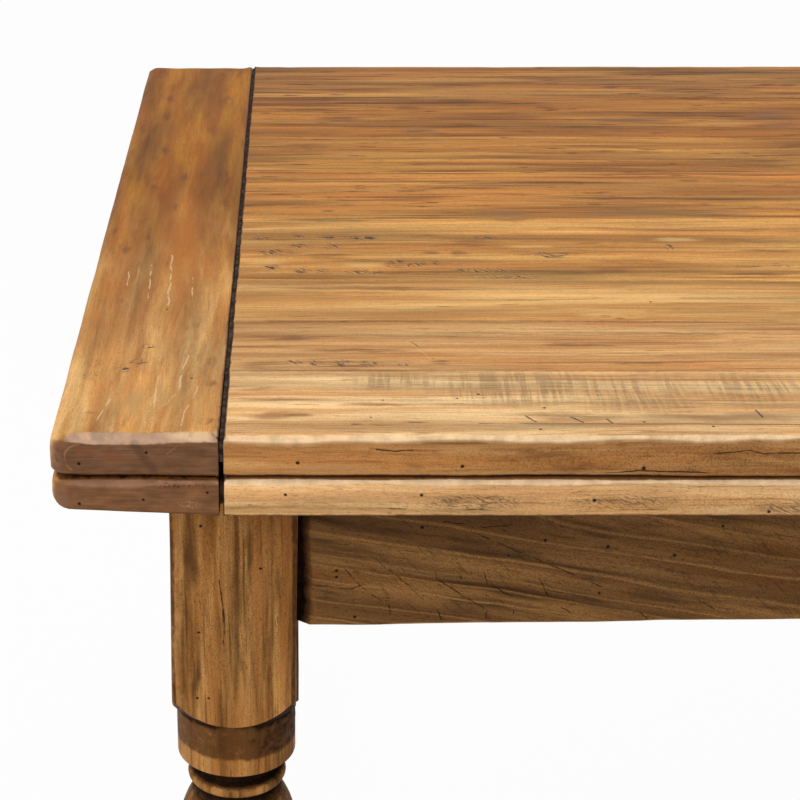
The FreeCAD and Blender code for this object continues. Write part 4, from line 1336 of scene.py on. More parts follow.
def recesses(points, count):
    """How deep each row of a leg lies below its neighbours within a few millimetres, from 0 to 1."""
    radius = np.hypot(points[:, 0], points[:, 1]).reshape(count, -1)
    z = points[:, 2].reshape(count, -1)
    deep = np.zeros_like(radius)
    for j in range(radius.shape[1]):
        near = np.abs(z[:, j][:, None] - z[:, j][None, :]) < RECESS_REACH
        around = np.where(near, radius[:, j][None, :], 0).max(axis=1)
        deep[:, j] = np.clip((around - radius[:, j]) / RECESS_DEPTH, 0, 1)
    return deep.ravel()


def add_caps(mesh, rings):
    """Closes the ends of a loft with a flat face each."""
    work = bmesh.new()
    work.from_mesh(mesh)
    work.verts.ensure_lookup_table()
    for ring in rings:
        work.faces.new([work.verts[k] for k in ring])
    work.to_mesh(mesh)
    work.free()


print("grooves deeper than", RECESS_DEPTH, "mm are full of dirt")

# %% Legs
LEAN_HEIGHT = BLOCK_BOTTOM - 60
LEG_SEED_STEP, LEG_RING = 13, 3.4


def make_leg(name, seed, board, slim, lean):
    """A leg at the place of its CAD node.

    slim is its share of the full width, as the plane left it, and lean how far it strays sideways at
    its neck.
    """
    low, high = node_box(name)
    done = [leg_column(column, seed) for column in COLUMNS]
    count, wide = len(done[0][0]), len(COLUMNS)
    points = np.stack([d[0] for d in done], axis=1).reshape(-1, 3)
    worn, grime = (np.stack([d[k] for d in done], axis=1).ravel() for k in (1, 2))
    i, j = np.meshgrid(np.arange(count - 1), np.arange(wide), indexing="ij")
    right = (j + 1) % wide
    quads = np.stack([i * wide + j, (i + 1) * wide + j, (i + 1) * wide + right, i * wide + right], axis=-1)
    grime = np.maximum(grime, recesses(points, count))
    z = points[:, 2]
    stray = ramp(z, LOW_BLOCK_TOP, LEAN_HEIGHT) * ramp(FRAME_TOP - z, 0, BLOCK_HEIGHT)
    points[:, 0] = points[:, 0] * slim + lean * stray
    points[:, :2] += (low[:2] + high[:2]) / 2
    marks = {"worn": worn, "grime": grime, "end": np.zeros(len(points))}
    piece = make_piece(name, points, quads.reshape(-1, 4), marks, board, "frame", [name])
    add_caps(piece.data, [list(range(wide)), list(range((count - 1) * wide, count * wide))[::-1]])
    return piece


LEGS = (("front_left_leg", 81, 70.0, 45.0, 1.0, -1.7), ("front_right_leg", 84, -60.0, 80.0, 1.0, 0.8),
        ("rear_left_leg", 87, 95.0, -20.0, 0.955, 0.0), ("rear_right_leg", 90, -40.0, -75.0, 0.955, 0.0))
for name, seed, beside, behind, slim, lean in LEGS:
    low, high = node_box(name)
    middle = (low + high) / 2
    board = (seed, 0.0, 0.0), (middle[0] + beside, middle[1] + behind, LEG_RING)
    make_leg(name, seed * LEG_SEED_STEP, board, slim, lean)
print("legs:", len(made["front_left_leg"].data.polygons), "faces each")

# %% [markdown]
# ## Aprons and stretchers
# The aprons hang back from the legs, with a hand-cut bevel where they meet them, and the end ones are
# notched for the bearers of the leaves. A boolean would cut the bevels straight. Here the points near an
# end are pushed back behind a ragged line, as a knife leaves it. The stretchers near the floor have
# softened upper edges.

# %% Aprons
APRON_SPAN_MARGIN, HIDDEN_END = 29.5, 2.5
APRON_EDGES = (2.6, 2.2), (2.0, 2.0)
BEVEL_LENGTH, BEVEL_DEPTH, BEVEL_GUIDES = 9.5, 7.5, np.arange(1.5, 17.0, 1.5)
RAGGED, RAGGED_LENGTH, SPLINTER, SPLINTER_LENGTH = 1.6, 13.0, 0.8, 5.0


def apron(name, face, side, notches, seed, board, lift=None):
    """An apron with bevelled ends. lift says how far its worn lower edge rises along it."""
    low, high = node_box(name)
    along = 0 if face == 1 else 1
    low[along] += APRON_SPAN_MARGIN
    high[along] -= APRON_SPAN_MARGIN
    steps = [MEDIUM_STEP] * 3
    steps[face] = COARSE_STEP
    guides = []
    for reach in BEVEL_GUIDES:
        for place in (low[along] + reach, high[along] - reach):
            guide = low.copy()
            guide[along] = place
            guides.append(guide)
    points, moved, faces, worn = worn_block(
        low, high, face, {(side, 2, -1): APRON_EDGES[0], (-side, 2, -1): APRON_EDGES[1]}, seed, steps,
        roundness=CRISP, hollow=0.6, cut=notches, guides=guides, rubbed_side=side)
    ends = np.minimum(points[:, along] - low[along], high[along] - points[:, along]) - HIDDEN_END
    ragged = ends - RAGGED * wander(seed, points[:, 2], RAGGED_LENGTH)
    ragged = ragged - SPLINTER * wander(seed + 1, points[:, 2], SPLINTER_LENGTH)
    front = (points[:, face] - low[face]) / (high[face] - low[face])
    front = front if side > 0 else 1 - front
    moved[:, face] -= side * BEVEL_DEPTH * np.clip(1 - ragged / BEVEL_LENGTH, 0, 1) * front
    if lift:
        share = (high[2] - points[:, 2]) / (high[2] - low[2])
        moved[:, 2] += lift(points[:, along]) * share ** 3
    # painted shade along the top 14 mm of the apron, under the top
    painted_shade_under_top = 0.6 * (1 - ramp(high[2] - points[:, 2], 0, 14))
    # the bevel beside the leg is darkened by dark glaze and painted shade
    grime = np.maximum(0.9 * (1 - ramp(ragged, 2.0, 9.5)), painted_shade_under_top)
    marks = {"worn": worn * ramp(ends, 6, 14), "grime": grime, "end": end_grain(moved, faces, along)}
    return make_piece(name, moved, faces, marks, board, "frame", [name])


print("the bevels are", BEVEL_LENGTH, "mm long and", BEVEL_DEPTH, "mm deep")

# %% The four aprons
NOTCH_ROOM, NOTCH_UNDER, NOTCH_OVER = 0.5, 0.3, 5
LIFT, LIFT_LEFT = 4.4, 0.7


def notch_boxes(side):
    """The passages for the two bearers of a leaf through its end apron."""
    boxes = []
    for which in ("front", "rear"):
        low, high = node_box(f"{side}_leaf_{which}_loper")
        face_low, face_high = node_box(f"{side}_apron")
        boxes.append((np.array([face_low[0] - 1, low[1] - NOTCH_ROOM, low[2] - NOTCH_UNDER]),
                      np.array([face_high[0] + 1, high[1] + NOTCH_ROOM, high[2] + NOTCH_OVER])))
    return boxes


def front_lift(x):
    """How far the front apron's lower edge has worn away."""
    return LIFT * ramp(x, -640, -270) * (1 - LIFT_LEFT * ramp(x, -150, 350))


apron("front_apron", 1, -1, [], 951, ((101, 0.0, 0.0), (800.0, -370.0, 15.0)), front_lift)
apron("rear_apron", 1, 1, [], 953, ((104, 0.0, 0.0), (640.0, 280.0, 12.0)))
apron("left_apron", 0, -1, notch_boxes("left"), 957, ((107, 0.0, 0.0), (665.0, -540.0, 12.0)))
apron("right_apron", 0, 1, notch_boxes("right"), 959, ((110, 0.0, 0.0), (630.0, 550.0, 12.0)))
print("the front apron has", len(made["front_apron"].data.polygons), "quads")

# %% Stretchers
TENONS = (22.0, 32.0)
RAIL_UPPER, RAIL_LOWER = (6.5, 6.0), (2.5, 2.5)
RAIL_STEP = 8.0


def stretcher(name, along, seed, board):
    """A rail between two tenons, which stay hidden in the legs or rails."""
    low, high = node_box(name)
    low[along] += TENONS[along]
    high[along] -= TENONS[along]
    across = 1 - along
    edges = {(up, across, s): size for up, size in ((1, RAIL_UPPER), (-1, RAIL_LOWER)) for s in (-1, 1)}
    steps = [MEDIUM_STEP, MEDIUM_STEP, COARSE_STEP]
    steps[along] = RAIL_STEP
    points, moved, faces, worn = worn_block(low, high, 2, edges, seed, steps, hollow=0.6)
    ends = np.minimum(points[:, along] - low[along], high[along] - points[:, along])
    marks = {"worn": worn, "grime": 0.8 * (1 - ramp(ends, 0, 6)), "end": np.zeros(len(points))}
    return make_piece(name, moved, faces, marks, board, "frame", [name])


stretcher("left_stretcher", 1, 971, ((113, 0.0, 0.0), (-640.0, 100.0, 3.6)))
stretcher("right_stretcher", 1, 973, ((116, 0.0, 0.0), (650.0, 200.0, 3.6)))
stretcher("middle_stretcher", 0, 977, ((119, 0.0, 0.0), (60.0, 90.0, 3.6)))
print("pieces so far:", len(made))

# %% [markdown]
# ## Finishes for the boards
# Each plank of the top gets its own finish, because each carries marks of its own. Grain runs along X in
# the planks, along Y in the breadboard ends and up the legs. The marks are tables of places on a face, in
# millimetres, so that one of them can be moved or left out.

# %% Places on the faces
ALONG_X, ALONG_Y, UPRIGHT = (0, 1, 2), (1, 0, 2), (2, 0, 1)
RAIL_X, RAIL_Y = (0, 2, 1), (1, 2, 0)
TOP_Z = top_left_high[2]
FRONT_Y, LEG_Y, APRON_Y = -475, -419, -409


def dress(names, material):
    """Gives pieces a finish."""
    for name in names:
        made[name].data.materials.append(material)


def on_top(*rows):
    """Ellipses on the top: (x, y, half x, half y) each."""
    return on_face(2, TOP_Z, rows)


def on_front(*rows, y=FRONT_Y):
    """Ellipses on a front face: (x, z, half x, half z) each."""
    return on_face(1, y, rows)


def top_dots(*places):
    """Holes in the top: (x, y, radius) each."""
    return [(x, y, TOP_Z, radius) for x, y, radius in places]


def front_dots(*places, y=FRONT_Y):
    """Holes in a front face: (x, z, radius) each."""
    return [(x, y, z, radius) for x, z, radius in places]


def top_lines(*places):
    """Lines on the top: (x, y, x, y, width) each."""
    return [((x, y, TOP_Z), (x2, y2, TOP_Z), width) for x, y, x2, y2, width in places]


def front_lines(*places, y=FRONT_Y):
    """Lines on a front face: (x, z, x, z, width) each."""
    return [((x, y, z), (x2, y, z2), width) for x, z, x2, z2, width in places]


def front_path(width, *places, y=FRONT_Y):
    """Lines from place to place on a front face: (x, z) each."""
    return front_lines(*[(*a, *b, width) for a, b in zip(places[:-1], places[1:])], y=y)


print("faces: top at", round(TOP_Z, 1), "and fronts at", FRONT_Y, LEG_Y, "and", APRON_Y, "mm")

# %% Marks on the front plank
GREY_BROWN = tint(146, 112, 72)
front_plank_top = [
    clouds(ALONG_X, on_top((-675, -398, 19, 5), (-659, -417, 40, 6), (-662, -442, 34, 8),
                           (-599, -424, 34, 5), (-570, -469, 10, 6)), tint(160, 106, 56), 0.75),
    saw_marks(ALONG_X, on_top((-585, -384, 42, 24), (-500, -396, 90, 42), (-420, -404, 80, 46),
                              (-345, -398, 60, 38), (-60, -410, 120, 40), (420, -400, 160, 44)),
              GREY_BROWN, 0.62),
    clouds(ALONG_X, on_top((-470, -444, 64, 11), (-370, -444, 90, 12)), tint(150, 106, 64), 0.75, (120, 8)),
    clouds(ALONG_X, on_top((-650, -442, 12, 2.4), (-574, -453, 11, 2.0), (-613, -456, 5, 2.0),
                           (-597, -457, 11, 2.0)), INK, 0.9, (18, 1.2), 3.0),
    lines(ALONG_X, top_lines((-532, -455, -240, -458, 0.9)), tint(112, 72, 38), 0.85, 1.6, 30.0, -1.0, 0.3),
    lines(ALONG_X, top_lines((-501, -443, -495, -452, 1.1), (-471, -445, -464, -453, 1.1),
                             (-448, -448, -445, -455, 1.0), (-347, -434, -345, -445, 1.2)),
          tint(78, 54, 52), 0.9, 1.5, 4.0, -1.0, 0.2)]
front_plank_face = [
    fading(ALONG_X, 1, -474.4, -473.4, (0.53, 0.43, 0.33), (1.0, 1.0, 1.0)),
    # a painted shadow line with dirt, just under the front arris
    lines(ALONG_X, front_lines((-640, TOP_Z - 4.0, -540, TOP_Z - 3.8, 0.6),
                               (-470, TOP_Z - 3.9, -330, TOP_Z - 4.1, 0.6)),
          tint(58, 38, 24), 0.8, 1.6, 12.0, -1.0, 0.42),
    clouds(ALONG_X, on_front((-577, 748, 10, 16), (-498, 752, 55, 9), (-470, 742, 40, 5),
                             (-360, 750, 50, 8), (-150, 748, 90, 10), (120, 752, 80, 8),
                             (380, 746, 120, 10)), tint(96, 60, 30), 0.5, (40, 6)),
    clouds(ALONG_X, on_front((-640, 741, 60, 5), (-545, 754, 22, 5), (-420, 745, 30, 5)),
           tint(196, 146, 94), 0.6, (60, 5)),
    specks(ALONG_X, on_front((-300, 748, 420, 20)), tint(90, 56, 30), 0.45, 1.2),
    lines(ALONG_X, [*front_path(0.8, (-600, 755.2), (-588, 753.8), (-577, 754.8)),
                    *front_path(0.8, (-381, 752.3), (-359, 754.5), (-349, 752.3), (-320, 753)),
                    *front_path(0.8, (-454, 737.5), (-430, 740), (-383, 738.5))],
          tint(44, 28, 18), 0.9, 1.6, 7.0, -1.5, 0.3),
    holes(ALONG_X, front_dots((-651, 745.5, 1.3), (-544, 743, 1.3), (-426, 741.7, 1.5))),
    holes(ALONG_X, top_dots((-529, -407, 1.2), (-544, -414, 0.9), (-594, -417, 0.9), (-603, -445, 0.9),
                            (-487, -430, 1.0), (-493, -464, 1.1), (-424, -453, 1.0), (-380, -460, 1.1)))]
print("the front plank has", len(front_plank_top) + len(front_plank_face), "kinds of marks")

# %% Marks on the second to the fourth plank
BROWN, GOLD, OLIVE = tint(122, 76, 36), tint(238, 196, 124), tint(138, 104, 60)
second_plank = [
    clouds(ALONG_X, on_top((-673, -358, 26, 10), (-609, -328, 52, 5), (-662, -305, 36, 7),
                           (-622, -358, 40, 8), (-412, -354, 30, 6), (-414, -296, 127, 4),
                           (-450, -319, 45, 4)), tint(128, 84, 48), 0.85),
    torn_grain(ALONG_X, on_top((-654, -352, 7, 7), (-638, -352, 6, 7), (-620, -352, 8, 8),
                               (-602, -353, 8, 8), (-578, -356, 5, 5)), 0.85),
    lines(ALONG_X, top_lines((-572, -311, -558, -344, 1.2)), GOLD, 0.4, 5.0, 14.0, 1.0, 0.15),
    lines(ALONG_X, top_lines((-569, -313, -556, -344, 0.9)), tint(112, 72, 40), 0.7, 5.0, 14.0, -1.0, 0.2),
    clouds(ALONG_X, on_top((-551, -351, 10, 6)), tint(116, 74, 40), 0.85, (12, 3), 4.0)]
third_plank = [
    clouds(ALONG_X, on_top((-568, -202, 110, 6), (-642, -205, 22, 7)), tint(130, 96, 60), 0.7),
    clouds(ALONG_X, on_top((-416, -259, 36, 11)), GOLD, 0.6, (90, 5)),
    clouds(ALONG_X, on_top((-424, -262, 7, 4), (-414, -266, 7, 3), (-405, -262, 5, 2.4)),
           tint(176, 104, 44), 0.95, (20, 2), 3.0),
    lines(ALONG_X, top_lines((-362, -224, -250, -224, 1.2)), tint(126, 84, 46), 0.7, 2.0, 30.0, -0.5, 0.35),
    holes(ALONG_X, top_dots((-386, -232, 1.0)))]
fourth_plank = [
    clouds(ALONG_X, on_top((-343, -90, 28, 9), (-678, -143, 24, 10), (-464, -105, 28, 8),
                           (-600, -150, 26, 9)), GOLD, 0.6, (90, 4)),
    clouds(ALONG_X, on_top((-627, -129, 28, 10), (-551, -80, 18, 5), (-512, -98, 34, 11),
                           (-546, -121, 11, 5), (-523, -121, 9, 8), (-572, -169, 18, 4),
                           (-415, -98, 13, 5), (-389, -141, 42, 5), (-406, -164, 22, 7),
                           (-295, -171, 40, 5), (-285, -117, 40, 5)), BROWN, 0.8),
    torn_grain(ALONG_X, on_top((-682, -85, 9, 8), (-651, -80, 7, 6), (-628, -82, 11, 6),
                               (-599, -85, 17, 8), (-652, -105, 15, 6), (-624, -105, 10, 8),
                               (-669, -120, 19, 9), (-574, -148, 12, 11), (-558, -148, 11, 8),
                               (-542, -144, 5, 6), (-671, -155, 11, 7))),
    torn_grain(ALONG_X, on_top((-648, -164, 9, 7), (-632, -164, 7, 7), (-600, -167, 21, 7),
                               (-501, -85, 15, 7), (-508, -162, 30, 7), (-489, -178, 33, 4),
                               (-451, -127, 24, 9), (-353, -108, 8, 8), (-298, -153, 14, 4),
                               (-271, -153, 12, 4), (-120, -110, 60, 30), (260, -110, 90, 36),
                               (520, -90, 60, 24)), 0.85),
    clouds(ALONG_X, on_top((-348, -38, 120, 10), (-484, -36, 44, 9), (-621, -38, 74, 8)),
           OLIVE, 0.9, (110, 7))]
print("kinds of marks on planks 2 to 4:", len(second_plank), len(third_plank), len(fourth_plank))

# %% Marks on the far planks
far_planks = [
    [clouds(ALONG_X, on_top((-348, -22, 118, 13), (-316, -26, 24, 10), (-484, -22, 44, 11),
                            (200, -10, 200, 14)), OLIVE, 0.9, (110, 7)),
     clouds(ALONG_X, on_top((-654, 23, 8, 5), (-624, 23, 4, 4), (-608, 23, 4, 4), (-577, 23, 5, 4),
                            (-352, 20, 110, 6)), BROWN, 0.9)],
    [clouds(ALONG_X, on_top((-643, 180, 32, 7), (-233, 114, 40, 8), (120, 150, 120, 9)), BROWN, 0.8)],
    [clouds(ALONG_X, on_top((-332, 265, 55, 14), (-190, 263, 32, 46), (-538, 227, 24, 8)),
            tint(118, 88, 66), 0.85, (110, 12)),
     clouds(ALONG_X, on_top((-241, 255, 60, 18)), GOLD, 0.3, (110, 6)),
     clouds(ALONG_X, on_top((-610, 269, 33, 11), (-545, 309, 29, 11), (-631, 301, 60, 7),
                            (-491, 335, 34, 11), (-560, 326, 60, 6)), tint(108, 64, 28), 0.9)],
    [clouds(ALONG_X, on_top((-248, 375, 72, 17), (-491, 396, 40, 10), (-331, 388, 12, 8),
                            (-149, 396, 16, 10), (-430, 430, 120, 8)), tint(104, 62, 26), 0.9)]]
print("far planks with marks:", len(far_planks))

# %% [markdown]
# Every plank has a shade of its own: the planks grow paler towards the front of the top and darker towards
# the back. From the middle on the streaks are broader, and at this distance finer ones would only blur.

# %% Finishes of the planks
FAR_LAYERS = (("amber", 380, 48, 0.45, 0.70, 0.45), ("grey", 420, 28, 0.54, 0.70, 0.55),
              ("brown", 300, 12, 0.54, 0.70, 0.62), ("pale", 330, 17, 0.53, 0.72, 0.62),
              ("brown", 200, 5, 0.56, 0.69, 0.55), ("brown", 45, 6.5, 0.60, 0.70, 0.62))
FAR_BANDS, FAR_GRIT = 2.2, (2.2, 0.6)
FIRST_COARSE, FIRST_FAR = 4, 5
PLANK_SHADES = ((1.2, 1.27, 1.62), (0.98, 0.90, 0.96), (0.99, 0.92, 0.86), (0.95, 0.81, 0.62),
                (0.85, 0.64, 0.4), (0.78, 0.58, 0.33), (0.72, 0.5, 0.25), (0.69, 0.53, 0.35))
PLANK_CONTRASTS = (1.2, 1.35, 1.2, 1.35, 1.5, 1.55, 1.55, 1.7)
plank_details = [front_plank_top + front_plank_face, second_plank, third_plank, fourth_plank, *far_planks]
for number, details in enumerate(plank_details, 1):
    look = altered(scaled(TOP_LOOK, *PLANK_SHADES[number - 1]), contrast=PLANK_CONTRASTS[number - 1])
    if number >= FIRST_COARSE:
        look = altered(look, bands=FAR_BANDS, grit=FAR_GRIT)
    if number >= FIRST_FAR:
        look = altered(look, layers=FAR_LAYERS)
    dress([f"top_board_{number}"], wood(f"top_plank_{number}", ALONG_X, look, details))
print("planks with a finish:", sum(bool(made[f"top_board_{n}"].data.materials) for n in range(1, 9)))

# %% [markdown]
# The left breadboard end has a paler, scuffed front with curved scratches, a torn dark gouge and blots
# further back. A pale line runs round its front face where the rounded corner begins.

# %% Finishes of the breadboard ends of the top
# the breadboard ends grow paler towards the front and darker towards the back, as the planks do
FRONT_TO_BACK_TONES = ((1.2, 1.31, 1.55), (0.58, 0.43, 0.09))
TONE_CHANGE_FROM, TONE_CHANGE_TO = -470, 90
scratches = top_lines(
    (-767, -150, -765, -228, 0.9), (-752, -127, -749, -239, 1.0), (-734, -176, -731, -228, 0.9),
    (-784, -162, -783, -196, 0.8), (-740, -358, -747, -369, 0.9), (-747, -369, -747, -431, 1.2),
    (-728, -338, -732, -374, 0.9), (-732, -374, -732, -400, 1.2), (-732, -400, -738, -421, 0.8),
    (-738, -421, -750, -437, 0.8), (-719, -392, -726, -437, 0.9), (-726, -437, -727, -458, 0.7),
    (-777, -414, -783, -450, 0.8))
arc = [(-792 + 10.5 * math.cos(a), 749 + 10 * math.sin(a)) for a in np.radians(np.linspace(235, 95, 9))]
dress(["top_left_breadboard"], wood("breadboard_left", ALONG_Y, BREADBOARD_LOOK, [
    fading(ALONG_Y, 1, TONE_CHANGE_FROM, TONE_CHANGE_TO, *FRONT_TO_BACK_TONES),
    clouds(ALONG_Y, on_top((-755, -416, 34, 40), (-748, -318, 10, 24), (-715, -433, 9, 28)),
           tint(196, 152, 92), 0.8, (60, 9)),
    clouds(ALONG_Y, on_top((-762, -130, 60, 240)), tint(192, 116, 48), 0.42, (200, 40)),
    clouds(ALONG_Y, on_top((-780, 346, 8, 20), (-753, 397, 8, 32), (-724, 339, 9, 30), (-799, 238, 6, 24),
                           (-775, 164, 7, 20), (-756, 81, 6, 18), (-777, 51, 6, 15), (-756, -2, 6, 14),
                           (-736, 90, 7, 12), (-800, -68, 6, 15), (-789, -115, 6, 12), (-733, 433, 8, 16),
                           (-713, -391, 6, 11), (-712, -450, 8, 7)), tint(112, 70, 38), 0.7, (30, 9), 14.0),
    torn_grain(ALONG_Y, on_top((-763, -349, 9, 7), (-759, -321, 7, 5), (-773, -363, 8, 5)), 0.9, -0.5),
    specks(ALONG_Y, on_top((-795, -352, 9, 14), (-794, -374, 10, 12), (-790, -437, 12, 3)),
           tint(92, 60, 40), 0.7),
    lines(ALONG_Y, scratches, tint(236, 202, 150), 0.7, 4.0, 18.0, 0.4, 0.3),
    # a painted reflection: the grey sheen of the white surroundings on the left of the front arris
    clouds(ALONG_Y, [((-778, -471, 763), (28, 7, 4))], tint(157, 130, 108), 0.6, (20, 9), 3.0, 0.5),
    clouds(ALONG_Y, [((-714, -471, 763), (26, 7, 4))], tint(238, 200, 156), 0.75, (20, 9), 3.0, 0.5),
    clouds(ALONG_Y, on_front((-811, 748, 9, 14), y=-472), tint(150, 114, 92), 0.8, (30, 8)),
    clouds(ALONG_Y, on_front((-790, 754, 10, 5), (-770, 750, 14, 5)), tint(140, 84, 56), 0.6, (30, 8)),
    lines(ALONG_Y, front_path(1.0, *arc), tint(190, 144, 112), 0.3, 2.0, 9.0, 0.0, 0.25),
    lines(ALONG_Y, front_lines((-757, 759, -744, 740, 4.4)), tint(66, 42, 32), 0.35, 3.0, 16.0, 0.0, 0.2),
    lines(ALONG_Y, front_lines((-736, 752, -727, 759, 0.7)), tint(160, 120, 92), 0.6, 1.5, 9.0, 0.0, 0.15),
    holes(ALONG_Y, [*top_dots((-724, -379, 1.1), (-749, -247, 1.0)),
                    *front_dots((-793, 745, 1.2), (-749, 753, 1.0)), (-782, -473, 763, 1.1)])]))
dress(["top_right_breadboard"], wood("breadboard_right", ALONG_Y, BREADBOARD_LOOK, [
    fading(ALONG_Y, 1, TONE_CHANGE_FROM, TONE_CHANGE_TO, *FRONT_TO_BACK_TONES),
    specks(ALONG_Y, on_top((760, -300, 30, 40), (750, 200, 30, 60)), tint(92, 60, 40), 0.6)]))
print("the left breadboard end has", len(scratches), "scratches")

# %% [markdown]
# The leaves saw less light and less use. Their breadboard ends are dusty, and the front edge was torn by
# the plane.

# %% Finishes of the leaves
leaf_end_look = altered(BREADBOARD_LOOK, crust=LEAF_LOOK["crust"],
                        tones={"end": tint(152, 104, 68), "rubbed": tint(158, 116, 88)})
dress(["left_leaf_breadboard"], wood("leaf_end_left", ALONG_Y, leaf_end_look, [
    clouds(ALONG_Y, on_face(0, -810, [(-455, 718, 50, 22)]), tint(138, 98, 74), 0.75, (60, 9), 5.0, 0.6),
    specks(ALONG_Y, on_front((-728, 729.0, 26, 3.0)), tint(62, 40, 28), 0.7, 1.6),
    specks(ALONG_Y, on_front((-722, 715, 10, 4)), tint(216, 178, 140), 0.5, 1.2),
    holes(ALONG_Y, front_dots((-794, 716, 1.1), (-752, 719, 1.0), (-710, 724, 1.0)))]))
dress(["right_leaf_breadboard"], wood("leaf_end_right", ALONG_Y, leaf_end_look))
plain_leaf = [n for n in made if "_leaf_board_" in n and n != "left_leaf_board_1"]
dress([*plain_leaf, "centre_boards"], wood("leaf_plank", ALONG_X, LEAF_LOOK))
dress(["left_leaf_board_1"], wood("leaf_front", ALONG_X, LEAF_LOOK, [
    clouds(ALONG_X, on_front((-640, 716, 40, 7), (-535, 717, 50, 7), (-430, 717, 44, 6),
                             (-340, 712, 30, 6)), tint(166, 116, 70), 0.45, (50, 5)),
    torn_grain(ALONG_X, on_front((-535, 717, 42, 7), (-436, 717, 42, 6), (-330, 713, 22, 6),
                                 (100, 716, 60, 6)), 0.6, 2.0, 3.0, 2),
    specks(ALONG_X, on_front((-300, 717, 420, 12)), tint(130, 86, 50), 0.35, 1.2),
    lines(ALONG_X, front_lines((-551, 711.5, -530, 711.8, 0.7), (-600, 713, -580, 712, 0.6)),
          tint(70, 44, 26), 0.8, 1.6, 9.0),
    holes(ALONG_X, front_dots((-659, 722.7, 1.1), (-570, 722.3, 1.2), (-457, 718.4, 1.3),
                              (-342, 710.3, 1.2)))]))
print("leaf boards with the plain finish:", len(plain_leaf))

# %% [markdown]
# The front left leg has one long check down its face and dark streaks beside it. The front apron is cut
# so that its flames run aslant, and short cracks cross them.

# %% Finishes of the legs and stretchers
dress(["front_left_leg"], wood("leg_front_left", UPRIGHT, LEG_LOOK, [
    clouds(UPRIGHT, on_front((-725, 645, 8, 36), (-685, 644, 4, 40), (-689, 562, 4, 28), (-724, 550, 5, 28),
                             y=LEG_Y), tint(74, 48, 26), 0.75, (90, 5)),
    clouds(UPRIGHT, on_front((-692, 658, 9, 13), y=LEG_Y), tint(124, 72, 30), 0.7, (60, 9)),
    clouds(UPRIGHT, on_front((-662, 629, 4, 15), y=LEG_Y), tint(92, 74, 50), 0.7, (60, 9)),
    clouds(UPRIGHT, on_front((-699, 612, 6, 13), (-675, 621, 8, 22), (-710, 550, 4, 36), y=LEG_Y),
           tint(178, 122, 68), 0.6, (90, 6)),
    specks(UPRIGHT, on_front((-695, 630, 80, 140), y=LEG_Y), tint(84, 54, 28), 0.4, 1.1),
    lines(UPRIGHT, front_lines((-706, 629, -705, 620, 0.6), (-705, 620, -703.5, 606, 0.8),
                               (-703.5, 606, -703, 587, 1.3), (-703, 587, -704, 577, 0.7), y=LEG_Y),
          tint(36, 22, 12), 0.9, 1.6, 9.0),
    holes(UPRIGHT, front_dots((-718, 671, 1.2), (-677, 638, 1.1), (-721, 587, 1.0), (-723, 533, 1.1),
                              (-715, 533, 1.0), y=LEG_Y))]))
dress([n for n, *_ in LEGS[1:]], wood("leg_pine", UPRIGHT, LEG_LOOK))
dress(["middle_stretcher"], wood("stretcher_long", RAIL_X, LEG_LOOK))
dress(["left_stretcher", "right_stretcher"], wood("stretcher_cross", RAIL_Y, LEG_LOOK))
print("pieces with a finish:", sum(bool(piece.data.materials) for piece in made.values()))

# %% Finishes of the aprons
CRACK_WIDTH = 0.65
CRACKS = (
    ((-618, 632), (-605, 617), (-587, 603), (-586, 596)), ((-539, 630), (-536, 624)),
    ((-555, 631), (-554, 625), (-538, 613), (-518, 600), (-518, 593)),
    ((-521, 631), (-518, 621), (-500, 610)), ((-499, 599), (-498, 592)),
    ((-482, 625), (-477, 614), (-464, 601), (-450, 592)), ((-587, 632), (-574, 620)),
    ((-640, 620), (-614, 616), (-605, 620)), ((-554, 670), (-521, 665), (-503, 667)),
    ((-554, 603), (-550, 592)), ((-529, 661), (-495, 645), (-465, 631), (-438, 618)),
    ((-420, 604), (-402, 592)), ((-366, 606), (-344, 592)))
crack_lines = [line for run in CRACKS for line in front_path(CRACK_WIDTH, *run, y=APRON_Y)]
dress(["front_apron"], wood("apron_front", RAIL_X, APRON_LOOK, [
    specks(RAIL_X, on_front((-300, 645, 700, 110), y=APRON_Y), tint(58, 40, 24), 0.5, 1.0),
    hairlines(RAIL_X, on_front((-530, 635, 130, 70), (-330, 630, 110, 60), y=APRON_Y),
              tint(48, 32, 19), 0.38),
    lines(RAIL_X, crack_lines, tint(38, 25, 15), 0.85, 3.2, 8.0, -2.0, 0.32),
    holes(RAIL_X, front_dots((-624, 631, 1.2), (-624, 626, 1.1), (-611, 594, 1.2), (-565, 665, 1.4),
                             (-479, 655, 1.3), (-435, 650, 1.4), (-388, 643, 1.4), (-504, 643, 1.0),
                             (-439, 613, 1.1), (-356, 666, 1.1), y=APRON_Y))]))
dress(["rear_apron"], wood("apron_rear", RAIL_X, APRON_LOOK))
dress(["left_apron", "right_apron"], wood("apron_end", RAIL_Y, APRON_LOOK))
print("pieces without a finish:", [n for n, o in made.items() if not o.data.materials])

# %% [markdown]
# ## The hidden parts
# Bearers, guide rails, braces, pegs, felts and screws keep their CAD shapes, which are right as they are.
# They get finishes of their own: raw pine, a fuzzy felt and dull steel. A small bevel modifier eases the
# edges of the wooden ones, because nobody sees or rubs them.

# %% Felt and steel
def object_noise(f, scale, detail):
    """Noise of one size on a CAD node."""
    place = f.node("ShaderNodeTexCoord", output="Object")
    return f.node("ShaderNodeTexNoise", inputs={"Vector": place, "Scale": scale, "Detail": detail})


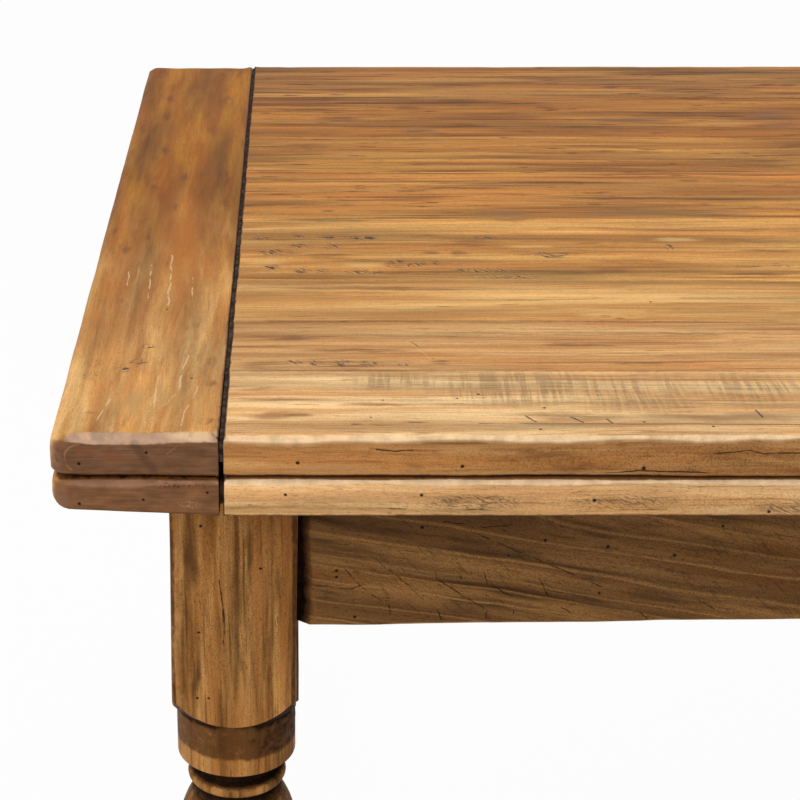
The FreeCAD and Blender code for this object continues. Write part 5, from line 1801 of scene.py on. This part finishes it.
def felt():
    """A fuzzy dark green."""
    material, f = new_finish("felt")
    fuzz = object_noise(f, 1400.0, 3.0)
    colour = f.mix(tint(52, 60, 44), tint(92, 102, 78), fuzz)
    bump = f.node("ShaderNodeBump", inputs={"Strength": 0.8, "Distance": 0.4 * MM, "Height": fuzz})
    shader = f.node("ShaderNodeBsdfPrincipled", inputs={
        "Base Color": colour, "Roughness": 0.95, "Normal": bump})
    f.node("ShaderNodeOutputMaterial", inputs={"Surface": shader})
    return material


def screw_steel():
    """Dull steel with spots of rust."""
    material, f = new_finish("screw_steel")
    rust = f.smooth(object_noise(f, 420.0, 4.0), 0.5, 0.72)
    colour = f.mix(tint(150, 146, 138), tint(96, 62, 42), rust)
    shader = f.node("ShaderNodeBsdfPrincipled", inputs={
        "Base Color": colour, "Metallic": 1 - rust * 0.9, "Roughness": 0.35 + rust * 0.4})
    f.node("ShaderNodeOutputMaterial", inputs={"Surface": shader})
    return material


finishes = {"felt": felt(), "screw_steel": screw_steel(),
            "along": wood("inner_long", ALONG_X, INNER_LOOK),
            "cross": wood("inner_cross", ALONG_Y, INNER_LOOK)}
print("finishes of the hidden parts:", list(finishes))

# %% Finishes of the CAD nodes
EASED, EASED_SEGMENTS = 0.8 * MM, 2

for name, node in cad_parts.items():
    if name in made:
        continue
    if "screws" in name:
        chosen = "screw_steel"
    elif "felt" in name:
        chosen = "felt"
    else:
        chosen = "along" if "loper" in name or "brace" in name else "cross"
    node.data.materials.clear()
    node.data.materials.append(finishes[chosen])
    if chosen in ("along", "cross"):
        bevel = node.modifiers.new("eased_edges", "BEVEL")
        bevel.width, bevel.segments, bevel.limit_method = EASED, EASED_SEGMENTS, "ANGLE"
print("CAD nodes that stay:", [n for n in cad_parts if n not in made])

# %% [markdown]
# ## Floor, light and camera
# A catalogue photo is taken on white paper under large soft lamps: one hangs over the table, and a second
# stands at the front left. More light would make the paper white, but it would bleach the wood too. So
# the floor and the sky are white only for rays that come from the camera, and the floor keeps a soft
# shadow.

# %% White floor and background
FLOOR_HALF, SHADOW_SHARE = 30.0, 0.03
PAPER, WHITE, SKY_LIGHT = (0.9, 0.9, 0.9, 1.0), (1, 1, 1, 1), 0.38


def seen_rays(f):
    """1 for rays from the camera, also by a mirror or through glass, and 0 for those that carry light."""
    kinds = ("Camera", "Glossy", "Transmission")
    return largest([f.node("ShaderNodeLightPath", output=f"Is {kind} Ray") for kind in kinds])


floor_mesh = bpy.data.meshes.new("floor")
floor_mesh.from_pydata([(-FLOOR_HALF, -FLOOR_HALF, 0), (FLOOR_HALF, -FLOOR_HALF, 0),
                        (FLOOR_HALF, FLOOR_HALF, 0), (-FLOOR_HALF, FLOOR_HALF, 0)], [], [(0, 1, 2, 3)])
floor = bpy.data.objects.new("floor", floor_mesh)
bpy.context.scene.collection.objects.link(floor)
paper, f = new_finish("white_paper")
matt = f.node("ShaderNodeBsdfDiffuse", inputs={"Color": PAPER})
white = f.node("ShaderNodeEmission", inputs={"Color": WHITE, "Strength": 1.0})
share = seen_rays(f) * (1 - SHADOW_SHARE)
f.node("ShaderNodeOutputMaterial", inputs={
    "Surface": f.node("ShaderNodeMixShader", inputs={0: share, 1: matt, 2: white})})
floor_mesh.materials.append(paper)

world = bpy.data.worlds.new("studio")
bpy.context.scene.world = world
world.use_nodes = True
f = Sheet(world.node_tree)
soft = f.node("ShaderNodeBackground", inputs={"Color": WHITE, "Strength": SKY_LIGHT})
white = f.node("ShaderNodeBackground", inputs={"Color": WHITE, "Strength": 1.0})
f.node("ShaderNodeOutputWorld", inputs={
    "Surface": f.node("ShaderNodeMixShader", inputs={0: seen_rays(f), 1: soft, 2: white})})
print("the floor is", 2 * FLOOR_HALF, "m wide and shows", SHADOW_SHARE, "of its shadow")

# %% Lamps and camera
LAMPS = (("overhead", (0.2, 0.1, 3.0), (0.0, 0.0, 0.7), 2.6, 22.0),
         ("front_left", (-2.3, -2.5, 2.7), (-0.5, -0.1, 0.65), 1.8, 55.0))
for name, place, aim, size, power in LAMPS:
    light = bpy.data.lights.new(name, "AREA")
    light.size, light.energy = size, power
    lamp = bpy.data.objects.new(name, light)
    lamp.location = place
    lamp.rotation_euler = (Vector(aim) - Vector(place)).to_track_quat("-Z", "Y").to_euler()
    bpy.context.scene.collection.objects.link(lamp)

lens = bpy.data.cameras.new("camera")
lens.lens, lens.sensor_width, lens.shift_x = 92.94, 36.0, 0.12
camera = bpy.data.objects.new("camera", lens)
camera.location = (-0.6469, -1.6873, 1.3186)
camera.rotation_euler = (math.radians(66.45), 0, 0)
bpy.context.scene.collection.objects.link(camera)
bpy.context.scene.camera = camera
bpy.context.scene.view_settings.view_transform = "Standard"
print("lamps:", [name for name, *_ in LAMPS], "and a lens of", lens.lens, "mm")
